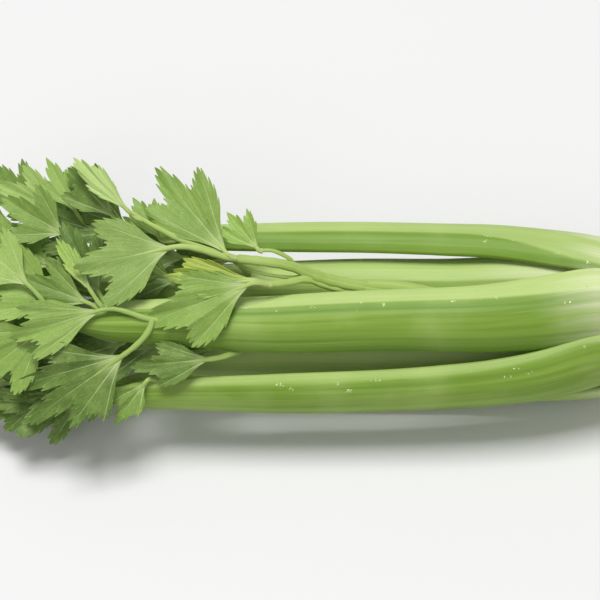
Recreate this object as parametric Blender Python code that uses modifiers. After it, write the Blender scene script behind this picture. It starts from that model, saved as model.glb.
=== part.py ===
"""A head of celery lying on a table, with its cut root end towards +X and its leaves towards -X.

Ribbed stalks stand in two rings round a short crown, with a bunch of young stalks at the heart.
Each leafy stem is one solid: its stalk, the thin leaf stalks that branch from the stalk's upper
end, and its lobed, toothed leaflets. Sizes and places are in metres.

Places among the stems are given as (x, up, near), the way a person sees them who looks down at
the head from its front at SIGHT_ELEVATION: x runs along the head, up lies across the sight line,
and near is the distance out of the head's own axis towards that person.
"""

import math
import random
from dataclasses import dataclass, field

import bmesh
import bpy
import numpy as np
from mathutils import Matrix, Vector

SIGHT_ELEVATION = math.radians(60)
AXIS_HEIGHT = 0.0320  # the head's axis above the table
CUT_X = 0.178  # where the knife took the root off
CROWN_TOP_X = 0.1575
GAP = 0.0003  # room between pieces that meet

CROWN_UP = -0.003  # the crown sits this far below the head's axis, across the sight line
FOOT_PULL = (  # (x, how far a stalk is drawn in from its ring to its foot)
    (0.060, 0.0), (0.090, 0.03), (0.112, 0.15), (0.135, 0.33), (0.157, 0.65), (CUT_X, 1.0), (0.190, 1.3),
)
FOOT_RUN_OUT = 0.010  # how far a foot is made past its cut
OUTER_WIDTHS = (  # (x, width as a share of the stalk's own)
    (-0.031, 0.84), (-0.009, 0.93), (0.048, 1.0), (0.090, 1.13), (0.112, 1.24), (0.135, 1.30),
    (0.157, 1.08), (CUT_X, 0.78),
)
INNER_WIDTHS = ((-0.030, 0.90), (0.020, 1.0), (0.060, 1.05), (0.110, 1.08), (0.135, 0.98), (0.158, 0.70))
THICKNESSES = ((0.020, 1.0), (0.110, 0.98), (0.140, 0.90), (CUT_X, 0.76))  # (x, share of its own)
BENDS = ((0.020, 0.85), (0.110, 0.82), (0.140, 0.76), (CUT_X, 0.60))  # (x, half angle of the section's arc)
FOOT_TILT = 10  # degrees that every foot is turned, so that each edge laps over the next stalk

RIB_COUNT = 6
RIB_HEIGHT = 0.0006
OUTER_STEPS = 2 * RIB_COUNT
INNER_STEPS = 5
STALK_RINGS = 12

BLADE_THICKNESS = 0.0007
BLADE_TEETH = 9
BLADE_ROOT_SHARE = 0.07  # a blade starts this share of its length out from its root
LEAF_STALK_RADIUS = 0.0011
LEAF_STALK_POINTS = 5
MIDRIB_SHARE = 0.30  # a leaf stalk runs on under its blade this far
SPRAY_PLACES = ((0.30, 1), (0.34, -1), (0.74, 1), (0.70, -1), (1.0, 0))  # (share of the rachis, side)

STALK_GREEN = (0.36, 0.52, 0.13, 1.0)
YOUNG_GREEN = (0.53, 0.64, 0.25, 1.0)
YOUNG_STEMS = ("inner_stalk_fork", "heart_stalk")
CROWN_CREAM = (0.80, 0.76, 0.55, 1.0)


@dataclass
class Leaf:
    """One leaflet: where its leaf stalk starts and ends, and how its blade lies."""

    start: tuple
    root: tuple
    heading: float  # degrees in the picture plane, 180 is towards the leaf end, 90 is up
    length: float
    width: float = 0.9  # its spread, 1 is 48 degrees to each side
    tilt: float = 0.0  # degrees that its plane is turned away from the viewer, about the head's length
    pitch: float = 0.0  # degrees that the midrib rises out of that plane
    roll: float = 0.0  # degrees turned about the midrib
    curl: float = 25.0  # degrees that the blade bends away along its length
    fold: float = 12.0  # degrees that each half rises from the midrib
    teeth: int = BLADE_TEETH


@dataclass
class Stem:
    """One stalk and its leaves."""

    name: str
    foot_angle: float  # degrees round the crown, from +Y towards +Z
    foot_radius: float
    path: tuple  # (x, up, near) of its centre line, from its upper end towards the crown
    face: float  # degrees, the way its ribbed face looks along the middle
    width: float
    thickness: float
    foot_x: float = CUT_X
    top_share: float = 0.59  # width at the top as a share of its own
    rests: bool = False
    rachis: tuple = ()
    leaves: list = field(default_factory=list)


def seen(x, up, near):
    """The world place of a point given along, across and towards the sight line."""
    sine, cosine = math.sin(SIGHT_ELEVATION), math.cos(SIGHT_ELEVATION)
    return Vector((x, sine * up - cosine * near, AXIS_HEIGHT + cosine * up + sine * near))


def seen_direction(along, up, near):
    return (seen(along, up, near) - seen(0, 0, 0)).normalized()


def smooth_through(stations, values, at):
    """A curve through the values at rising stations, with no corners."""
    slopes = np.gradient(np.array(values, float), np.array(stations, float))
    at = min(max(at, stations[0]), stations[-1])
    i = min(int(np.searchsorted(stations, at, side="right")) - 1, len(stations) - 2)
    span = stations[i + 1] - stations[i]
    t = (at - stations[i]) / span
    rise = values[i + 1] - values[i]
    start, end = slopes[i] * span, slopes[i + 1] * span
    return values[i] + t * (start + t * (3 * rise - 2 * start - end + t * (start + end - 2 * rise)))


def through(pairs, x):
    return smooth_through([pair[0] for pair in pairs], [pair[1] for pair in pairs], x)


def stalk_centre(stem, x):
    """The stalk's centre line at x."""
    angle = math.radians(stem.foot_angle)
    foot = seen(x, CROWN_UP, 0.0) + stem.foot_radius * Vector((0, math.cos(angle), math.sin(angle)))
    up = through([(place[0], place[1]) for place in stem.path], x)
    near = through([(place[0], place[2]) for place in stem.path], x)
    return seen(x, up, near).lerp(foot, through(FOOT_PULL, x))


def stalk_size(stem, x):
    """(width, thickness, half angle of its bent section) at x."""
    top = stem.path[0][0]
    shares = OUTER_WIDTHS if stem.foot_radius > 0.012 else INNER_WIDTHS
    width = stem.width * through(((top, stem.top_share),) + shares[1 if top > -0.03 else 0 :], x)
    thick = stem.thickness * through(((top, 0.90),) + THICKNESSES, x)
    bend = through(((top, 0.62),) + BENDS, x)
    return width, thick, bend


def stalk_section(width, thick, bend):
    """A bent strip with a ribbed outer side: (across, outward) points, once round."""
    radius = width / (2 * math.sin(bend))
    depth = radius * (1 - math.cos(bend))
    points = []
    for k in range(OUTER_STEPS + 1):
        s = -1 + 2 * k / OUTER_STEPS
        rib = RIB_HEIGHT * (k % 2 == 0) * (abs(s) < 0.99)
        half = thick / 2 * (1 - 0.58 * s * s) + rib
        points.append(((radius + half) * math.sin(s * bend), (radius + half) * math.cos(s * bend)))
    for k in range(INNER_STEPS):
        s = 1 - 2 * (k + 0.5) / INNER_STEPS
        half = thick / 2 * (1 - 0.58 * s * s)
        points.append(((radius - half) * math.sin(s * bend), (radius - half) * math.cos(s * bend)))
    return [(across, outward - radius + depth / 2) for across, outward in points]


def mesh_object(name, bm, material=None):
    bmesh.ops.recalc_face_normals(bm, faces=bm.faces)
    mesh = bpy.data.meshes.new(name)
    bm.to_mesh(mesh)
    bm.free()
    made = bpy.data.objects.new(name, mesh)
    if material:
        mesh.materials.append(material)
    bpy.context.scene.collection.objects.link(made)
    return made


def lofted(rings):
    """A closed skin over rings of as many points each."""
    bm = bmesh.new()
    made = [[bm.verts.new(point) for point in ring] for ring in rings]
    count = len(rings[0])
    for low, high in zip(made, made[1:]):
        for i in range(count):
            bm.faces.new((low[i], low[(i + 1) % count], high[(i + 1) % count], high[i]))
    bm.faces.new(made[0])
    bm.faces.new(made[-1])
    return bm


def cut_flat(bm, place, normal):
    """Takes off what lies past a plane and closes the cut."""
    everything = bm.verts[:] + bm.edges[:] + bm.faces[:]
    bmesh.ops.bisect_plane(bm, geom=everything, plane_co=place, plane_no=normal, clear_outer=True)
    bmesh.ops.holes_fill(bm, edges=[e for e in bm.edges if e.is_boundary], sides=0)


def stalk_rings(stem):
    """Rings of the stalk's skin, from past its foot to its upper end."""
    first = stem.foot_x + FOOT_RUN_OUT
    rings = []
    for k in range(STALK_RINGS):
        share = (k / (STALK_RINGS - 1)) ** 1.35
        x = first + share * (stem.path[0][0] - first)
        pull = through(FOOT_PULL, x)
        tangent = (stalk_centre(stem, x - 0.002) - stalk_centre(stem, x + 0.002)).normalized()
        angle = math.radians(stem.face + pull * (stem.foot_angle + FOOT_TILT - stem.face))
        outward = Vector((0, math.cos(angle), math.sin(angle)))
        outward = (outward - tangent * outward.dot(tangent)).normalized()
        across = tangent.cross(outward)
        centre = stalk_centre(stem, x)
        section = stalk_section(*stalk_size(stem, x))
        rings.append([centre + across * a + outward * o for a, o in section])
    return rings


def tube_object(name, points, radii, sides=6):
    """A tapering tube along points, as a closed mesh."""
    curve = bpy.data.curves.new(name, "CURVE")
    curve.dimensions = "3D"
    curve.bevel_depth = 1.0
    curve.bevel_resolution = (sides - 4) // 2
    curve.use_fill_caps = True
    spline = curve.splines.new("POLY")
    spline.points.add(len(points) - 1)
    for place, point, radius in zip(spline.points, points, radii):
        place.co = (*point, 1)
        place.radius = radius
    guide = bpy.data.objects.new(name + "_guide", curve)
    bpy.context.scene.collection.objects.link(guide)
    bpy.context.view_layer.update()
    mesh = bpy.data.meshes.new_from_object(guide.evaluated_get(bpy.context.evaluated_depsgraph_get()))
    bpy.data.objects.remove(guide)
    bm = bmesh.new()
    bm.from_mesh(mesh)
    bmesh.ops.remove_doubles(bm, verts=bm.verts, dist=1e-6)
    return mesh_object(name, bm)


def hermite(start, end, leave, arrive, count):
    """Points on a smooth curve that leaves start along leave and reaches end along arrive."""
    points = []
    reach = (end - start).length
    for k in range(count):
        t = k / (count - 1)
        points.append(
            start * (1 + t * t * (2 * t - 3))
            + end * (t * t * (3 - 2 * t))
            + leave * (reach * t * (t - 1) ** 2)
            + arrive * (reach * t * t * (t - 1))
        )
    return points


def blade_rays(leaf):
    """(angle, reach, depth) of rays over the blade: notches at even places, teeth at odd ones.

    Two deep cuts part the blade into three lobes. Depth is how far out the sheet is whole.
    """
    rays = []
    cut = 1 / 3 if leaf.teeth == 9 else 0.2
    for k in range(2 * leaf.teeth + 1):
        share = k / leaf.teeth - 1
        lobe = 1 - 0.36 * abs(share) ** 1.8
        notch = 0.60 if abs(abs(share) - cut) < 0.01 else 0.87
        if abs(share) > 0.99:
            notch = 0.80
        reach = lobe * (1.0 if k % 2 else notch)
        rays.append((share * math.radians(48) * leaf.width, reach, 0.54 * lobe))
    return rays


def leaf_axes(leaf):
    """(heading, across, facing) unit vectors of a leaf."""
    heading, pitch, tilt = (math.radians(value) for value in (leaf.heading, leaf.pitch, leaf.tilt))
    facing = seen_direction(0, math.sin(tilt), math.cos(tilt))
    along = seen_direction(1, 0, 0)
    flat = along * math.cos(heading) + facing.cross(along) * math.sin(heading)
    ahead = flat * math.cos(pitch) + facing * math.sin(pitch)
    across = Matrix.Rotation(math.radians(leaf.roll), 3, ahead) @ facing.cross(ahead).normalized()
    return ahead, across, ahead.cross(across)


def blade_point(leaf, axes, angle, reach):
    """A point of the blade's middle surface."""
    ahead, across, facing = axes
    along = leaf.length * reach * math.cos(angle)
    aside = leaf.length * reach * math.sin(angle)
    bend = math.radians(leaf.curl) / leaf.length
    lift = math.tan(math.radians(leaf.fold)) * abs(aside)
    turn = bend * along
    out = math.sin(turn) / bend
    down = -(1 - math.cos(turn)) / bend
    return (
        seen(*leaf.root)
        + ahead * (out + lift * math.sin(turn))
        + across * aside
        + facing * (down + lift * math.cos(turn))
    )


def blade_object(name, leaf):
    """The leaflet's blade, a thin bent sheet made solid."""
    axes = leaf_axes(leaf)
    rays = blade_rays(leaf)
    bm = bmesh.new()

    def vert(ray, reach):
        return bm.verts.new(blade_point(leaf, axes, ray[0], reach))

    root = [vert(rays[k], BLADE_ROOT_SHARE) for k in (0, leaf.teeth, -1)]
    ring = [vert(ray, ray[2]) for ray in rays[::2]]
    edge = [vert(ray, ray[1]) for ray in rays]
    for k in range(leaf.teeth):
        end = root[0 if k < leaf.teeth // 2 else 1 if k == leaf.teeth // 2 else 2]
        bm.faces.new((end, ring[k], ring[k + 1]))
        bm.faces.new((ring[k], edge[2 * k], edge[2 * k + 1]))
        bm.faces.new((ring[k], edge[2 * k + 1], ring[k + 1]))
        bm.faces.new((ring[k + 1], edge[2 * k + 1], edge[2 * k + 2]))
    bm.faces.new((root[0], ring[leaf.teeth // 2], root[1]))
    bm.faces.new((root[1], ring[leaf.teeth // 2 + 1], root[2]))
    made = mesh_object(name, bm)
    skin = made.modifiers.new("thickness", "SOLIDIFY")
    skin.thickness = BLADE_THICKNESS
    skin.offset = 0
    return made


def leaf_objects(name, leaf):
    """A leaflet's stalk and blade."""
    axes = leaf_axes(leaf)
    start, root = seen(*leaf.start), seen(*leaf.root)
    toward = seen_direction(-1, 0, 0.15)
    points = hermite(start, root, toward, axes[0], LEAF_STALK_POINTS)
    points.append(blade_point(leaf, axes, 0.0, MIDRIB_SHARE))
    last = len(points) - 1
    radii = [LEAF_STALK_RADIUS * (1.35 - 0.75 * k / last) for k in range(last + 1)]
    return [tube_object(name + "_stalk", points, radii), blade_object(name + "_blade", leaf)]


def fuse(body, pieces):
    """Joins the pieces to the body as one solid and removes them."""
    group = bpy.data.collections.new(body.name + "_pieces")
    bpy.context.scene.collection.children.link(group)
    for piece in pieces:
        bpy.context.scene.collection.objects.unlink(piece)
        group.objects.link(piece)
    union = body.modifiers.new("join", "BOOLEAN")
    union.operation = "UNION"
    union.operand_type = "COLLECTION"
    union.collection = group
    union.solver = "MANIFOLD"
    bpy.context.view_layer.update()
    mesh = bpy.data.meshes.new_from_object(body.evaluated_get(bpy.context.evaluated_depsgraph_get()))
    body.modifiers.clear()
    body.data = mesh
    for piece in pieces:
        bpy.data.objects.remove(piece)
    bpy.data.collections.remove(group)


def build_stem(stem, material):
    """The stalk, its branching leaf stalks and its leaflets, as one solid."""
    bm = lofted(stalk_rings(stem))
    cut_flat(bm, (stem.foot_x, 0, 0), (1, 0, 0))
    if stem.rests:
        for vert in bm.verts:
            vert.co.z = max(vert.co.z, 0.0)
    bmesh.ops.triangulate(bm, faces=bm.faces)
    body = mesh_object(stem.name, bm, material)
    pieces = []
    if stem.rachis:
        points = [seen(*place) for place in stem.rachis]
        first, last = stem.thickness * 0.38, LEAF_STALK_RADIUS * 1.3
        radii = [first + (last - first) * k / (len(points) - 1) for k in range(len(points))]
        pieces.append(tube_object(stem.name + "_rachis", points, radii))
    for k, leaf in enumerate(stem.leaves):
        pieces += leaf_objects(f"{stem.name}_{k}", leaf)
    if pieces:
        fuse(body, pieces)
    return body


def build_crown(material):
    """The short turned core that the stalks stand round."""
    profile = (
        (0.0, CUT_X), (0.0125, CUT_X), (0.0150, 0.170), (0.0165, 0.162), (0.0155, CROWN_TOP_X),
        (0.0, CROWN_TOP_X),
    )
    bm = bmesh.new()
    verts = [bm.verts.new((x, 0, radius)) for radius, x in profile]
    edges = [bm.edges.new(pair) for pair in zip(verts, verts[1:])]
    bmesh.ops.spin(
        bm, geom=verts + edges, cent=(0, 0, 0), axis=(1, 0, 0), angle=math.tau, steps=20, use_merge=True
    )
    bmesh.ops.remove_doubles(bm, verts=bm.verts, dist=1e-6)
    bmesh.ops.translate(bm, verts=bm.verts, vec=seen(0, CROWN_UP, 0))
    return mesh_object("crown", bm, material)


def settle():
    """Moves everything so that the origin is the middle of the foot of the whole head's box."""
    made = [obj for obj in bpy.data.objects if obj.type == "MESH"]
    points = np.array([vert.co for obj in made for vert in obj.data.vertices])
    low, high = points.min(axis=0), points.max(axis=0)
    shift = Vector((-(low[0] + high[0]) / 2, -(low[1] + high[1]) / 2, -low[2]))
    for obj in made:
        obj.data.transform(Matrix.Translation(shift))


def plain_material(name, colour, roughness):
    material = bpy.data.materials.new(name)
    material.use_nodes = True
    shader = material.node_tree.nodes["Principled BSDF"]
    shader.inputs["Base Color"].default_value = colour
    shader.inputs["Roughness"].default_value = roughness
    return material


def mm(*values):
    return tuple(value / 1000 for value in values)


def spray(top, tip, size, seed, spread=42, tilt=0.0, places=SPRAY_PLACES):
    """The upper end of a stalk: (rachis, leaves) of a leaf that branches evenly on both sides."""
    chance = random.Random(seed)
    top, tip = Vector(top), Vector(tip)
    run = tip - top
    course = math.degrees(math.atan2(run.y, run.x)) % 360
    turned = math.radians(tilt)
    leaves = []
    for share, side in places:
        aside = 0.0065 * side
        out = Vector((-0.005, aside * math.cos(turned), -aside * math.sin(turned)))
        leaves.append(
            Leaf(
                tuple(top + run * (share - 0.12)),
                tuple(top + run * share + out),
                course - side * (spread + chance.uniform(-8, 8)),
                size * (chance.uniform(0.80, 0.95) if side else 1.05),
                width=chance.uniform(0.8, 1.0),
                tilt=tilt,
                pitch=chance.uniform(-4, 5),
                roll=chance.uniform(-7, 7),
                curl=chance.uniform(10, 24),
                fold=chance.uniform(6, 14),
                teeth=5,
            )
        )
    return (tuple(top - run * 0.1), tuple(top + run * 0.5), tuple(tip)), leaves


def stems():
    """Every leafy stem, the outer ring first."""
    foot = CROWN_TOP_X - GAP
    back = Stem(
        "stalk_back", 58, 0.0200, (mm(-92, 35.7, 0), mm(20, 36, 2.5), mm(90, 34.6, 3), mm(135, 34.6, 4)),
        48, 0.0225, 0.0085,
    )
    front = Stem(
        "stalk_front", 108, 0.0200,
        (
            mm(-91, -2.7, 30), mm(-67, -2, 31), mm(-9, -3, 31.8), mm(48, -1, 31.8), mm(90, 1, 32),
            mm(112, 3.5, 32), mm(135, 7, 32),
        ),
        118, 0.0245, 0.0086,
    )
    low = Stem(
        "stalk_low_front", 160, 0.0200,
        (
            mm(-82, -35.3, 20), mm(-9, -35.1, 20.6), mm(63, -33, 20.6), mm(90, -30.9, 21),
            mm(112, -28.8, 22.3), mm(135, -23.4, 24),
        ),
        172, 0.0235, 0.0086,
    )
    under = Stem(
        "stalk_under_front", 222, 0.0200,
        (mm(-80, -30.9, -11.5), mm(60, -30.9, -11.5), mm(135, -30.9, -11.5)),
        246, 0.0235, 0.0084, rests=True,
    )
    under_back = Stem(
        "stalk_under_back", 294, 0.0200, (mm(-80, 5.5, -32.5), mm(60, 5.5, -32.5), mm(135, 5.5, -32.5)),
        298, 0.0235, 0.0084, rests=True,
    )
    far = Stem(
        "stalk_far", 358, 0.0200, (mm(-85, 16.8, -18.9), mm(60, 16.8, -18.9), mm(135, 20, -18)),
        345, 0.0180, 0.0070,
    )
    inner_back = Stem(
        "inner_stalk_back", 44, 0.0092, (mm(-98, 15, 8), mm(20, 16, 7), mm(120, 17, 7)),
        100, 0.0200, 0.0070, foot,
    )
    fork = Stem(
        "inner_stalk_fork", 112, 0.0092,
        (mm(5, 17.5, 25), mm(18, 14.3, 23), mm(45, 9.8, 20), mm(60, 7, 18.5), mm(120, 5, 17)),
        110, 0.0100, 0.0066, foot, 0.72,
    )
    inner_front = Stem(
        "inner_stalk_front", 180, 0.0092, (mm(-70, -19.4, 8), mm(20, -19.4, 8), mm(120, -18, 8)),
        150, 0.0190, 0.0068, foot,
    )
    inner_under = Stem(
        "inner_stalk_under", 262, 0.0092, (mm(-85, -7.5, -13), mm(20, -7.5, -13), mm(120, -7.5, -13)),
        268, 0.0190, 0.0064, foot,
    )
    heart = Stem(
        "heart_stalk", 330, 0.0035, (mm(-95, 1, -1), mm(20, 1, -1), mm(120, 1, -2)),
        60, 0.0110, 0.0070, foot, 0.7,
    )

    fork.rachis = (
        mm(14, 15.6, 24), mm(4, 17.8, 26), mm(-13.5, 23.8, 30), mm(-26, 26.5, 32),
        mm(-38, 32.4, 32), mm(-58.5, 41.4, 30.5), mm(-74, 50, 29),
    )
    fork.leaves = [
        Leaf(mm(-70, 47.8, 29.5), mm(-77, 51.6, 28.5), 139, 0.031, 0.5, fold=20),
        Leaf(mm(-25, 26.2, 32), mm(-58.5, 31.2, 37), 197, 0.044, 0.95, roll=6, curl=4, fold=10),
        Leaf(mm(-24, 26.2, 32), mm(-35, 29.8, 33.5), 122, 0.047, 0.68, pitch=-12, curl=15),
        Leaf(mm(3, 18.4, 26.5), mm(-18, 29, 31), 118, 0.019, 0.7, fold=25, teeth=5),
        Leaf(mm(6, 17.4, 25.5), mm(-21, 15.0, 39), 176, 0.044, 0.48, curl=8, fold=24),
        Leaf(mm(-4, 15.6, 33), mm(-23, 12.0, 41), 203, 0.045, 0.6, pitch=3, curl=6, fold=-4),
    ]
    front.leaves = [
        Leaf(mm(-62, 0, 36), mm(-92, 4.5, 37.5), 190, 0.045, 0.7, curl=14),
        Leaf(mm(-82, 0, 31), mm(-93.5, 6.2, 31), 164, 0.036, 0.8, curl=10),
        Leaf(mm(-82, 1, 31.5), mm(-92.5, 9, 31.5), 132, 0.031, 0.4, pitch=-6, fold=30),
        Leaf(mm(-62, -2, 35.5), mm(-78.8, -18.5, 37), 211, 0.050, 1.0, pitch=-6, curl=12),
        Leaf(mm(-84, 0, 30), mm(-108, 7, 29), 160, 0.044, 0.9, curl=12),
        Leaf(mm(-84, -2, 30), mm(-114, -5, 29), 216, 0.042, 0.9, curl=12),
    ]
    low.rachis, low.leaves = spray(mm(-78, -35, 20), mm(-126, -36, 16), 0.034, 11, 32, tilt=-14)
    low.leaves.append(Leaf(mm(-58, -30, 23.5), mm(-69.8, -26.5, 31), 240, 0.027, 0.8, teeth=5))
    inner_front.rachis, inner_front.leaves = spray(
        mm(-66, -19, 8), mm(-112, -21, 7), 0.033, 12, 34, places=SPRAY_PLACES[1::2] + SPRAY_PLACES[-1:]
    )
    inner_front.leaves += [
        Leaf(mm(-22, -15, 11), mm(-43, -22, 34), 175, 0.030, 0.68, curl=8, fold=10),
        Leaf(mm(-18, -15, 11), mm(-36, -13, 22.5), 178, 0.025, 0.4, curl=6, teeth=5),
    ]
    back.rachis, back.leaves = spray(mm(-88, 36, 0), mm(-126, 42, -2), 0.036, 13, 36, tilt=6)
    back.leaves += [
        Leaf(mm(-84, 37, 2), mm(-101, 46, 10), 110, 0.029, 0.9, curl=10),
        Leaf(mm(-86, 36, 4), mm(-106, 37, 16), 150, 0.034, 0.9, curl=10),
    ]
    inner_back.rachis, inner_back.leaves = spray(mm(-94, 15, 8), mm(-134, 18, 15), 0.034, 14, 36)
    under.rachis, under.leaves = spray(mm(-76, -31, -11), mm(-124, -38, -6), 0.036, 15, spread=32, tilt=30)
    under_back.rachis, under_back.leaves = spray(
        mm(-76, 6, -32), mm(-128, 18, -37), 0.038, 16, spread=32, tilt=30
    )
    inner_under.rachis, inner_under.leaves = spray(
        mm(-81, -7, -13), mm(-128, -9, -17), 0.034, 17, tilt=24, places=SPRAY_PLACES[::2]
    )
    far.rachis, far.leaves = spray(mm(-81, 17, -19), mm(-126, 22, -17), 0.034, 18, tilt=22)
    heart.rachis, heart.leaves = spray(
        mm(-90, 1, -1), mm(-134, 0, -4), 0.028, 19, 26, places=SPRAY_PLACES[2:]
    )
    return [back, front, low, under, under_back, far, inner_back, fork, inner_front, inner_under, heart]


def main():
    for obj in list(bpy.data.objects):
        bpy.data.objects.remove(obj)
    stalk_material = plain_material("stalk_green", STALK_GREEN, 0.38)
    crown_material = plain_material("crown_cream", CROWN_CREAM, 0.6)
    build_crown(crown_material)
    young_material = plain_material("young_green", YOUNG_GREEN, 0.38)
    for stem in stems():
        build_stem(stem, young_material if stem.name in YOUNG_STEMS else stalk_material)
    settle()


main()
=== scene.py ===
"""Looks of a head of celery: ribbed stalks, a cut crown, and lobed, toothed leaflets.

Every piece is placed with (x, up, near): x runs along the head, up lies across the sight line of a
person who looks down at its front, and near is the distance out of its axis towards that person.
"""

import logging
import math
import random
from dataclasses import dataclass, field
from enum import Enum

import bpy
import numpy as np
from mathutils import Matrix, Vector


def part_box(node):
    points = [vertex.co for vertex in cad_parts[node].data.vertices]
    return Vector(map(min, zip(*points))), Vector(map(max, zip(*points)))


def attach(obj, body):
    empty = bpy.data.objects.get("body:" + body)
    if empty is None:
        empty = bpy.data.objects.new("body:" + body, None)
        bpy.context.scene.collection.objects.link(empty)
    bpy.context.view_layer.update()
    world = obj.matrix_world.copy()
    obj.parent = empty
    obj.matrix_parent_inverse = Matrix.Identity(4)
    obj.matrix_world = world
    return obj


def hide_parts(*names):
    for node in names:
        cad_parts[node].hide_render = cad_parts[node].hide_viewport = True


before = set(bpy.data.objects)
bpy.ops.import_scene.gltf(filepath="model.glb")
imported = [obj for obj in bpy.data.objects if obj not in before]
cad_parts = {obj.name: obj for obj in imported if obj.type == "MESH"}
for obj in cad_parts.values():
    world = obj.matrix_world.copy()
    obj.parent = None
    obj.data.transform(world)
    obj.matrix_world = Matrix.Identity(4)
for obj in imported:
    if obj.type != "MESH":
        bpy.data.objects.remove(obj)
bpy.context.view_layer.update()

LOG = logging.getLogger("celery")
Place = tuple[float, float, float]
Pairs = tuple[tuple[float, float], ...]
Rgb = tuple[float, float, float]

SIGHT_ELEVATION = math.radians(60)
AXIS_HEIGHT = 0.0320
CROWN_UP = -0.003
CUT_X = 0.178
CROWN_TOP_X = 0.1575
INNER_FOOT_X = 0.1572

FOOT_PULL: Pairs = (
    (0.060, 0.0), (0.090, 0.03), (0.112, 0.15), (0.135, 0.33), (0.157, 0.65), (CUT_X, 1.0), (0.190, 1.3),
)
OUTER_WIDTHS: Pairs = (
    (-0.031, 0.84), (-0.009, 0.93), (0.048, 1.0), (0.090, 1.13), (0.112, 1.24), (0.135, 1.30),
    (0.157, 1.08), (CUT_X, 0.78),
)
INNER_WIDTHS: Pairs = (
    (-0.030, 0.90), (0.020, 1.0), (0.060, 1.05), (0.110, 1.08), (0.135, 0.98), (0.158, 0.70),
)
THICKNESSES: Pairs = ((0.020, 1.0), (0.110, 0.98), (0.140, 0.90), (CUT_X, 0.76))
BENDS: Pairs = ((0.020, 0.85), (0.110, 0.82), (0.140, 0.76), (CUT_X, 0.60))
FOOT_TILT = 10.0
SPRAY_PLACES: tuple[tuple[float, int], ...] = ((0.30, 1), (0.34, -1), (0.74, 1), (0.70, -1), (1.0, 0))


def mm(*values: float) -> tuple[float, ...]:
    """Millimetres to metres."""
    return tuple(value / 1000 for value in values)


def srgb(red: float, green: float, blue: float) -> Rgb:
    """A colour given as a screen shows it, 0 to 255, in linear light."""

    def linear(value: float) -> float:
        """One channel in linear light."""
        value /= 255
        return value / 12.92 if value <= 0.04045 else ((value + 0.055) / 1.055) ** 2.4

    return linear(red), linear(green), linear(blue)


class Sight:
    """The head's own (x, up, near) places, laid into the frame of the solids."""

    sine = math.sin(SIGHT_ELEVATION)
    cosine = math.cos(SIGHT_ELEVATION)
    offset = Vector((0.0, 0.0, 0.0))

    @classmethod
    def settle(cls) -> None:
        """Finds how far the solids were moved when their origin was set."""
        low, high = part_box("crown")
        made = Vector(cls.point(CUT_X, CROWN_UP, 0.0))
        cls.offset = Vector((high[0], (low[1] + high[1]) / 2, (low[2] + high[2]) / 2)) - made

    @classmethod
    def point(cls, x: float, up: float, near: float) -> Vector:
        """The place in the row's frame of one point.

        Args:
            x: metres along the head.
            up: metres across the sight line.
            near: metres out of the axis towards the viewer.

        Returns:
            The point in metres.
        """
        flat = Vector((x, cls.sine * up - cls.cosine * near, AXIS_HEIGHT + cls.cosine * up + cls.sine * near))
        return flat + cls.offset

    @classmethod
    def way(cls, along: float, up: float, near: float) -> Vector:
        """A unit direction in the row's frame."""
        return (cls.point(along, up, near) - cls.point(0, 0, 0)).normalized()


def smooth_through(pairs: Pairs, at: float) -> float:
    """A curve with no corners through values at rising stations.

    Args:
        pairs: (station, value) pairs.
        at: where the value is wanted.

    Returns:
        The value there.
    """
    stations = [pair[0] for pair in pairs]
    values = [pair[1] for pair in pairs]
    slopes = np.gradient(np.array(values, float), np.array(stations, float))
    at = min(max(at, stations[0]), stations[-1])
    i = min(int(np.searchsorted(stations, at, side="right")) - 1, len(stations) - 2)
    span = stations[i + 1] - stations[i]
    t = (at - stations[i]) / span
    rise = values[i + 1] - values[i]
    start, end = slopes[i] * span, slopes[i + 1] * span
    return float(values[i] + t * (start + t * (3 * rise - 2 * start - end + t * (start + end - 2 * rise))))


def hermite(start: Vector, end: Vector, leave: Vector, arrive: Vector, count: int) -> list[Vector]:
    """Points on a smooth curve.

    Args:
        start: its first point.
        end: its last point.
        leave: direction at the start.
        arrive: direction at the end.
        count: how many points.

    Returns:
        The points.
    """
    points = []
    reach = (end - start).length
    for k in range(count):
        t = k / (count - 1)
        points.append(
            start * (1 + t * t * (2 * t - 3))
            + end * (t * t * (3 - 2 * t))
            + leave * (reach * t * (t - 1) ** 2)
            + arrive * (reach * t * t * (t - 1))
        )
    return points


def smooth_line(points: list[Vector], steps: int) -> list[Vector]:
    """A Catmull-Rom curve through points.

    Args:
        points: the points that it passes.
        steps: new points for each span.

    Returns:
        The finer line.
    """
    line = []
    padded = [points[0] * 2 - points[1], *points, points[-1] * 2 - points[-2]]
    for a, b, c, d in zip(padded, padded[1:], padded[2:], padded[3:]):
        for k in range(steps):
            t = k / steps
            line.append(
                0.5 * (2 * b + (c - a) * t + (2 * a - 5 * b + 4 * c - d) * t * t + (3 * b - a - 3 * c + d) * t ** 3)
            )
    line.append(points[-1])
    return line


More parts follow.
